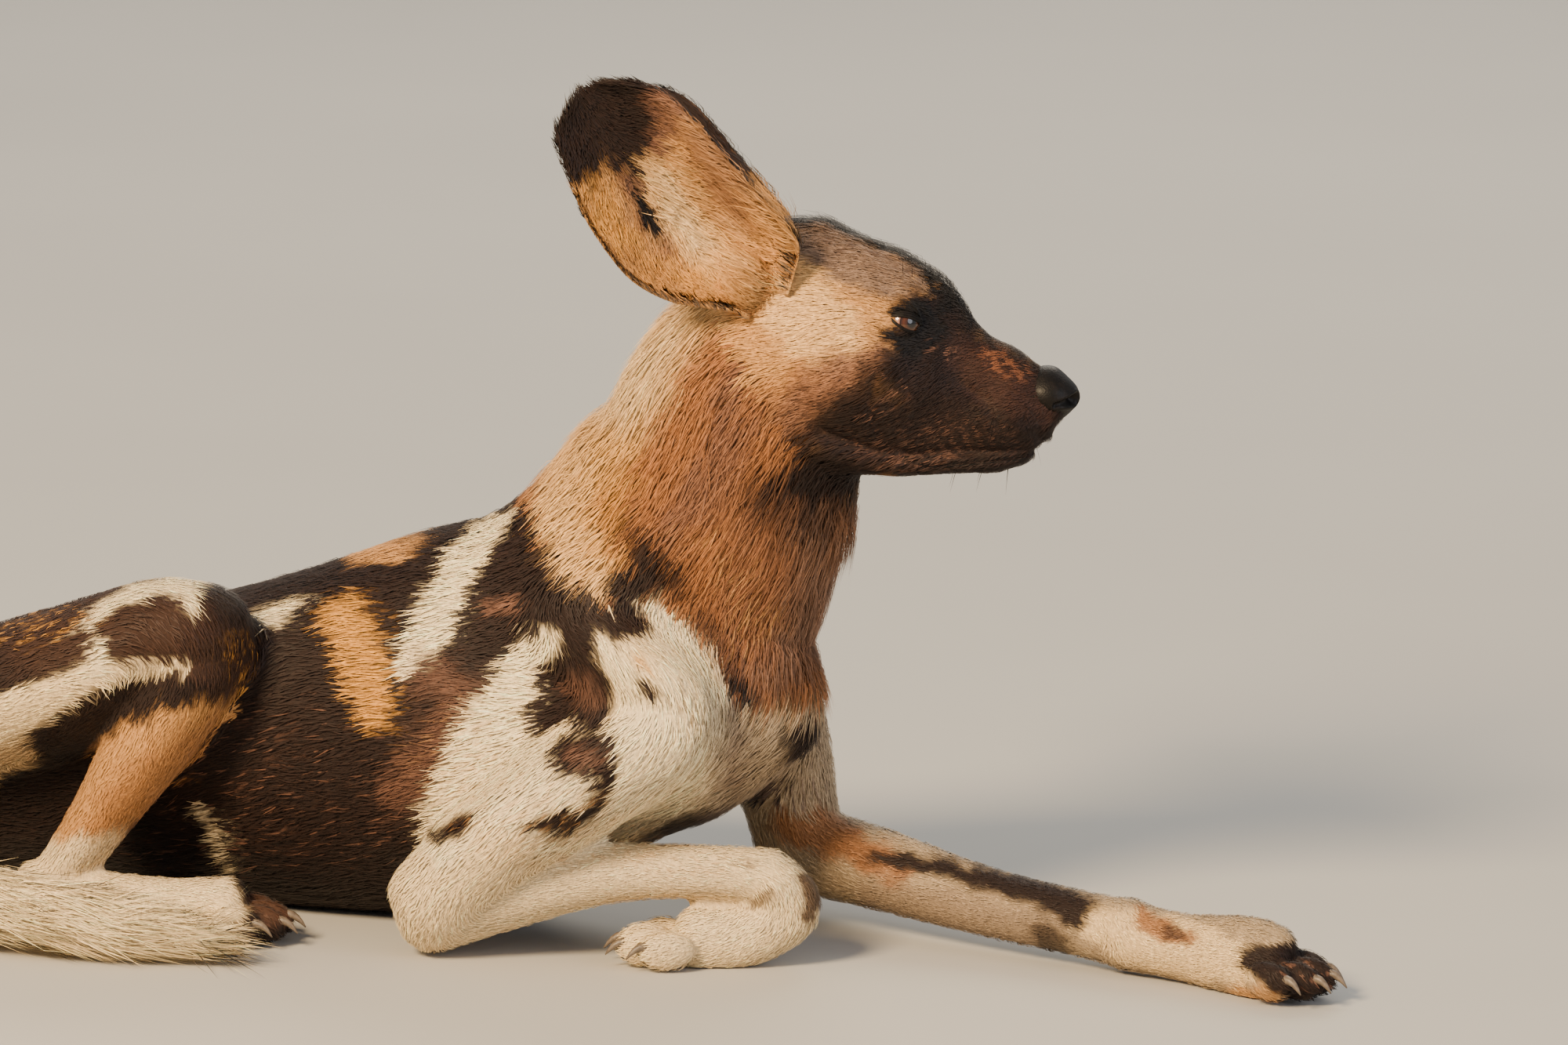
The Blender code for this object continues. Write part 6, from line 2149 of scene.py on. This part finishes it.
    def joined(self, points: np.ndarray, triangles: np.ndarray) -> bpy.types.Mesh:
        """All the tufts as one mesh, which no operator makes fast enough.

        Args:
            points: the places of the vertices, a row for each tuft.
            triangles: the vertex numbers of each triangle.

        Returns:
            The mesh.
        """
        mesh = bpy.data.meshes.new(self.piece.name)
        mesh.vertices.add(points.shape[0] * points.shape[1])
        mesh.vertices.foreach_set("co", points.reshape(-1).astype(np.float32))
        mesh.loops.add(len(triangles) * 3)
        mesh.loops.foreach_set("vertex_index", triangles.ravel().astype(np.int32))
        mesh.polygons.add(len(triangles))
        mesh.polygons.foreach_set("loop_start", np.arange(0, len(triangles) * 3, 3, dtype=np.int32))
        mesh.update(calc_edges=True)
        mesh.validate()
        return mesh


# Each ring of a lid from the eye outwards: share of the slot's height above, below, lift and thickness
LID_ROWS = ((0.42, 1.02, 0.6, 0.8), (0.70, 1.12, 0.5, 0.9), (0.98, 1.22, 0.2, 0.9), (1.24, 1.32, -0.4, 0.9))
# Places round a lid, how pointed its corners are, and its rings' thickness as a share of its own
LID_POINTS, LID_CORNER, LID_SHARE = 40, 1.25, 0.62
# The two rims of the lips: above or below the mouth's line, and share of the lip's thickness
LIP_RIMS = ((0.0009, 1.0), (-0.0011, 0.8))
# How far aside of the head rays start that find its skin
RAY_START = 0.09
# Roots of the whiskers on the profile, forward and up, and their length: muzzle, chin, brow
WHISKERS = (
    *((0.128 - 0.010 * i, -0.038 - 0.006 * k, 0.034) for k in range(3) for i in range(4)),
    *((0.118 - 0.016 * i, -0.078, 0.012) for i in range(3)),
    *((0.056, 0.040, 0.013), (0.062, 0.036, 0.011), (0.050, 0.043, 0.012)),
)
WHISKER_RADIUS = 0.00022


@dataclass
class Face:
    """Eyes, lids, lips, nose and whiskers."""

    lid_upper: float = 0.0019
    lid_lower: float = 0.0014
    lip: float = 0.0010

    def eye(self, side: Side) -> bpy.types.Object:
        """One eyeball with a slightly raised cornea.

        Args:
            side: which eye.

        Returns:
            The eyeball's object.
        """
        bm = bmesh.new()
        bmesh.ops.create_uvsphere(bm, u_segments=48, v_segments=32, radius=EYE_RADIUS)
        gaze = self.gaze(side)
        for vertex in bm.verts:
            share = max(0.0, vertex.co.normalized().dot(gaze) - CORNEA_EDGE) / (1.0 - CORNEA_EDGE)
            vertex.co *= 1.0 + CORNEA_RISE * share
        bm.transform(Matrix.Translation(eye_centre(side)))
        return to_object(f"eyeball_{side.name.lower()}", bm)

    def gaze(self, side: Side) -> Vector:
        """The way that one eye looks."""
        return (head_matrix().to_3x3() @ on_side(GAZE, side)).normalized()

    def lids(self, side: Side) -> bpy.types.Object:
        """The rims of the lids round one eye, thicker above.

        Args:
            side: which eye.

        Returns:
            The lids' object.
        """
        bm = bmesh.new()
        half_long, half_high = EYE_SLOT
        turns = np.linspace(0.0, 2 * math.pi, LID_POINTS, endpoint=False)
        for layer, (above, below, lift, thick) in enumerate(LID_ROWS):
            points, radii = [], []
            for turn, is_upper in zip(turns, self.upper_half(turns, side)):
                x = math.cos(turn) * half_long * (1.05 + 0.05 * layer)
                high = half_high * (above if is_upper else below)
                y = math.copysign(abs(math.sin(turn)) ** LID_CORNER, math.sin(turn)) * high
                reach = EYE_RADIUS + 0.0002 + 0.0004 * lift
                z = math.sqrt(max(reach**2 - x * x - y * y, 1e-6))
                points.append((x, y, z))
                radii.append((self.lid_upper if is_upper else self.lid_lower) * thick * LID_SHARE)
            add_cord(bm, np.array(points), np.array(radii), 10, closed=True)
        bm.transform(eye_frame(side))
        return to_object(f"lids_{side.name.lower()}", bm)

    def upper_half(self, turns: np.ndarray, side: Side) -> np.ndarray:
        """Which places round the eye lie on the upper lid.

        Args:
            turns: the turn of each place, in radians.
            side: which eye.

        Returns:
            N truth values.
        """
        up = eye_frame(side).to_3x3() @ Vector((0.0, 1.0, 0.0))
        return np.sin(turns) * (1.0 if up.z > 0 else -1.0) > 0

    def nose(self) -> bpy.types.Object:
        """The bare nose with comma-shaped nostrils and the groove between them.

        Returns:
            The nose pad's object.
        """
        bm = bmesh.new()
        add_blob(bm, Vector(PAD), PAD_RADII, detail=6)
        places = np.array([v.co for v in bm.verts])
        out = unit((places - np.array(PAD)) / np.array(PAD_RADII))
        for side in Side:
            slit = np.array(NOSTRIL) + np.array(NOSTRIL_STEPS)
            slit[:, 1] *= side.value
            share, spot, _way = Line(slit).nearest(places)
            gap = np.linalg.norm(places - spot, axis=1)
            wide = 0.0046 - 0.0020 * share
            sink = (0.0066 - 0.0030 * share) * np.clip(1 - (gap / wide) ** 2, 0, None) ** 0.8
            rim = 0.0007 * np.exp(-(((gap - wide * 1.25) / 0.0010) ** 2)) * (1 - 0.6 * share)
            places = places - out * (sink - rim)[:, None]
        groove = 0.0009 * np.exp(-((places[:, 1] / 0.0009) ** 2)) * (places[:, 0] > PAD[0] + 0.004)
        places = places - out * (groove * smoothstep(PAD[2] + 0.006, PAD[2] - 0.004, places[:, 2]))[:, None]
        low = smoothstep(PAD[2], PAD[2] - PAD_RADII[2], places[:, 2])
        high = smoothstep(PAD[2] + 0.002, PAD[2] + PAD_RADII[2], places[:, 2])
        front = smoothstep(PAD[0], PAD[0] + PAD_RADII[0], places[:, 0])
        places[:, 0] -= 0.0040 * low + 0.0030 * high * front
        places[:, 1] *= 1.0 - 0.38 * low - 0.10 * high
        places[:, 2] -= 0.0020 * high * front
        for vertex, place in zip(bm.verts, places):
            vertex.co = place
        bm.transform(head_matrix())
        return to_object("nose_pad", bm)

    def lips(self, surface: BVHTree) -> bpy.types.Object:
        """The dark rims of the upper and lower lip on both sides.

        Args:
            surface: the head's skin, which the lips lie on.

        Returns:
            The lips' object.
        """
        bm = bmesh.new()
        line = smooth_rows(MOUTH, 6)
        frame = head_matrix()
        for side in Side:
            inwards = frame.to_3x3() @ on_side((0.0, -1.0, 0.0), side)
            for above, thick in LIP_RIMS:
                points = []
                for x, z in line:
                    start = frame @ on_side((x, RAY_START, z + above), side)
                    hit = surface.ray_cast(start, inwards, RAY_START)
                    if hit[0] is not None:
                        points.append(np.array(hit[0]) - np.array(hit[1]) * self.lip * 0.35)
                if len(points) > 3:
                    radii = np.full(len(points), self.lip * thick)
                    radii[0] = radii[-1] = self.lip * 0.3
                    add_cord(bm, np.array(points), radii, 8)
        return to_object("lips", bm)

    def whiskers(self, surface: BVHTree) -> bpy.types.Object:
        """Stiff dark bristles on muzzle, chin and brow.

        Args:
            surface: the head's skin, which they are rooted in.

        Returns:
            The whiskers' object.
        """
        bm = bmesh.new()
        chance = np.random.default_rng(31)
        frame, turn = head_matrix(), head_matrix().to_3x3()
        for forward, up, length in WHISKERS:
            for side in Side:
                start = frame @ on_side((forward, RAY_START, up), side)
                hit = surface.ray_cast(start, turn @ on_side((0.0, -1.0, 0.0), side), RAY_START)
                if hit[0] is None:
                    continue
                out = Vector(hit[1])
                size = length * chance.uniform(0.8, 1.2)
                away = (out + turn @ Vector((-0.45, 0.0, -0.25 if up < 0 else 0.1))).normalized()
                shares = np.linspace(0.0, 1.0, 6)
                droop = Vector((0.0, 0.0, -0.22 if up < 0 else 0.05))
                points = [hit[0] + away * size * s + droop * size * s * s for s in shares]
                add_cord(bm, np.array(points), WHISKER_RADIUS * (1.08 - shares), 4)
        return to_object("whiskers", bm)

    def claws(self) -> bpy.types.Object:
        """A short bent claw on each toe.

        Returns:
            The claws' object.
        """
        bm = bmesh.new()
        for plan in LEGS.values():
            frame = toe_frame(plan["toes"])
            for forward, aside in TOE_SPOTS:
                root = forward + TOE_RADII[0] * 0.60
                points = []
                for share in np.linspace(-0.15, 1.0, len(CLAW_TAPER)):
                    bare = max(share, 0)
                    high = 0.0030 + 0.0016 * math.sin(math.pi * bare) - 0.0065 * bare**2
                    spot = (root + CLAW_LENGTH * share, aside * (1.10 + 0.12 * share), high)
                    points.append(frame @ Vector(spot))
                add_cord(bm, np.array(points), CLAW_ROOT * np.array(CLAW_TAPER), 10)
        for vertex in bm.verts:
            vertex.co.z = max(vertex.co.z, CLAW_FLOOR)
        return to_object("claws", bm)


@dataclass
class Studio:
    """A plain pale floor under soft lights."""

    half_size: float = 12.0
    aim: tuple[float, float, float] = (0.0, 0.0, 0.2)
    backdrop: str = "#e6e8ea"
    brightness: float = 0.56

    def build(self) -> None:
        """Adds the floor, the lights and the pale surroundings."""
        bm = bmesh.new()
        bmesh.ops.create_grid(bm, x_segments=1, y_segments=1, size=self.half_size)
        bmesh.ops.translate(bm, verts=bm.verts, vec=(0.0, 0.0, -0.0002))
        floor = to_object("floor", bm, smooth=False)
        floor.data.materials.append(FloorFinish("painted_floor", 0.8).material())
        # Name, place, size in metres, power in watts and colour of each lamp
        lights = (
            ("key", (-2.4, -3.6, 3.1), 1.5, 620.0, "#ffdfb2"),
            ("fill", (3.6, -3.0, 1.8), 3.0, 70.0, "#f4f4ff"),
            ("back", (0.6, 3.6, 2.8), 2.5, 90.0, "#fff4e2"),
        )
        for name, place, size, power, colour in lights:
            data = bpy.data.lights.new(name, "AREA")
            data.shape = "DISK"
            data.size = size
            data.energy = power
            data.color = linear(colour)
            light = bpy.data.objects.new(name, data)
            bpy.context.scene.collection.objects.link(light)
            light.location = place
            aim = Vector(self.aim) - Vector(place)
            light.rotation_euler = aim.to_track_quat("-Z", "Y").to_euler()
        world = bpy.data.worlds.new("surroundings")
        world.use_nodes = True
        backdrop = world.node_tree.nodes["Background"]
        backdrop.inputs["Color"].default_value = (*linear(self.backdrop), 1.0)
        backdrop.inputs["Strength"].default_value = self.brightness
        bpy.context.scene.world = world


def ready(
    piece: bpy.types.Object, shift: Vector, material: bpy.types.Material
) -> bpy.types.Object:
    """Moves a finished piece to the solids' frame and dresses it.

    Args:
        piece: the piece in the working frame.
        shift: from the working frame to that of the solids.
        material: its finish.

    Returns:
        The piece.
    """
    piece.data.transform(Matrix.Translation(shift))
    piece.data.materials.clear()
    piece.data.materials.append(material)
    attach(piece, "root")
    LOG.info("%s: %d vertices", piece.name, len(piece.data.vertices))
    return piece


def main() -> None:
    """Builds the camera, the studio, the skin, the face and the coat."""
    logging.basicConfig(level=logging.INFO, format="%(name)s %(message)s")
    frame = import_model()
    low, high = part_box("eye_right")
    eye = eye_centre(Side.RIGHT)
    middle = (low + high) / 2
    shift = Vector((middle.x - eye.x, middle.y - eye.y, 0.0))
    LOG.info("shift %s", tuple(round(v, 5) for v in shift))

    camera = PhotoCamera()
    camera.build(shift)
    Studio().build()

    skin = Skin().build()
    hide = Hide(skin, shift, frame["nodes"])
    hide.sink()
    markings = MarkingsAndPaintedShade(camera)
    paint_points(skin.data, markings.paint(hide.places, hide.regions))
    on_head = np.nonzero((hide.regions[hide.faces] == Region.HEAD.value).all(axis=1))[0]
    surface = BVHTree.FromPolygons(hide.places.tolist(), hide.faces[on_head].tolist())
    LOG.info("skin: %d triangles", len(hide.faces))

    # Dull dry hair, so that light breaks up on the tufts and doesn't shine on the whole
    hair = HairFinish("guard_hair", 0.62).material()
    for i, piece in enumerate(COAT_PIECES):
        ready(Tufts(hide, markings, piece, 100 + 10 * i).build(), shift, hair)
    # Rougher short hair below them, darker as painted shade between the tufts, giving the coat its depth
    flesh = [name for name in frame["nodes"] if name not in ("eye_right", "eye_left", "nose")]
    under = HairFinish("undercoat_and_skin", 0.8, grain_mm=1.8, shade=0.78, bump=0.6).material()
    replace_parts(ready(skin, shift, under), *flesh)

    face = Face()
    # Dark hairless skin with a trace of moisture, which frames the eyes
    bare = BareSkinFinish("bare_lid_and_lip_skin", 0.62, wet=0.03).material()
    for side in Side:
        name = side.name.lower()
        centre = tuple(eye_centre(side) + shift)
        # A clear wet eyeball, the one sharp glint of the face
        finish = EyeFinish("wet_eye_" + name, 0.12, centre=centre, gaze=tuple(face.gaze(side)))
        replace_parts(ready(face.eye(side), shift, finish.material()), f"eye_{name}")
        ready(face.lids(side), shift, bare)
    # Coarse moist leather with fine pebbles
    nose_skin = BareSkinFinish("pebbled_nose_skin", 0.50, pebble_mm=1.1, depth=0.35, wet=0.05).material()
    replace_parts(ready(face.nose(), shift, nose_skin), "nose")
    # Dry dark lips, matt beside the nose
    dry = BareSkinFinish("dry_lip_skin", 0.65, wet=0.0).material()
    ready(face.lips(surface), shift, dry)
    # Worn keratin with a dull shine
    horn = HornFinish("claw_horn", 0.45).material()
    ready(face.whiskers(surface), shift, bare)
    ready(face.claws(), shift, horn)


if __name__ == "__main__":
    main()
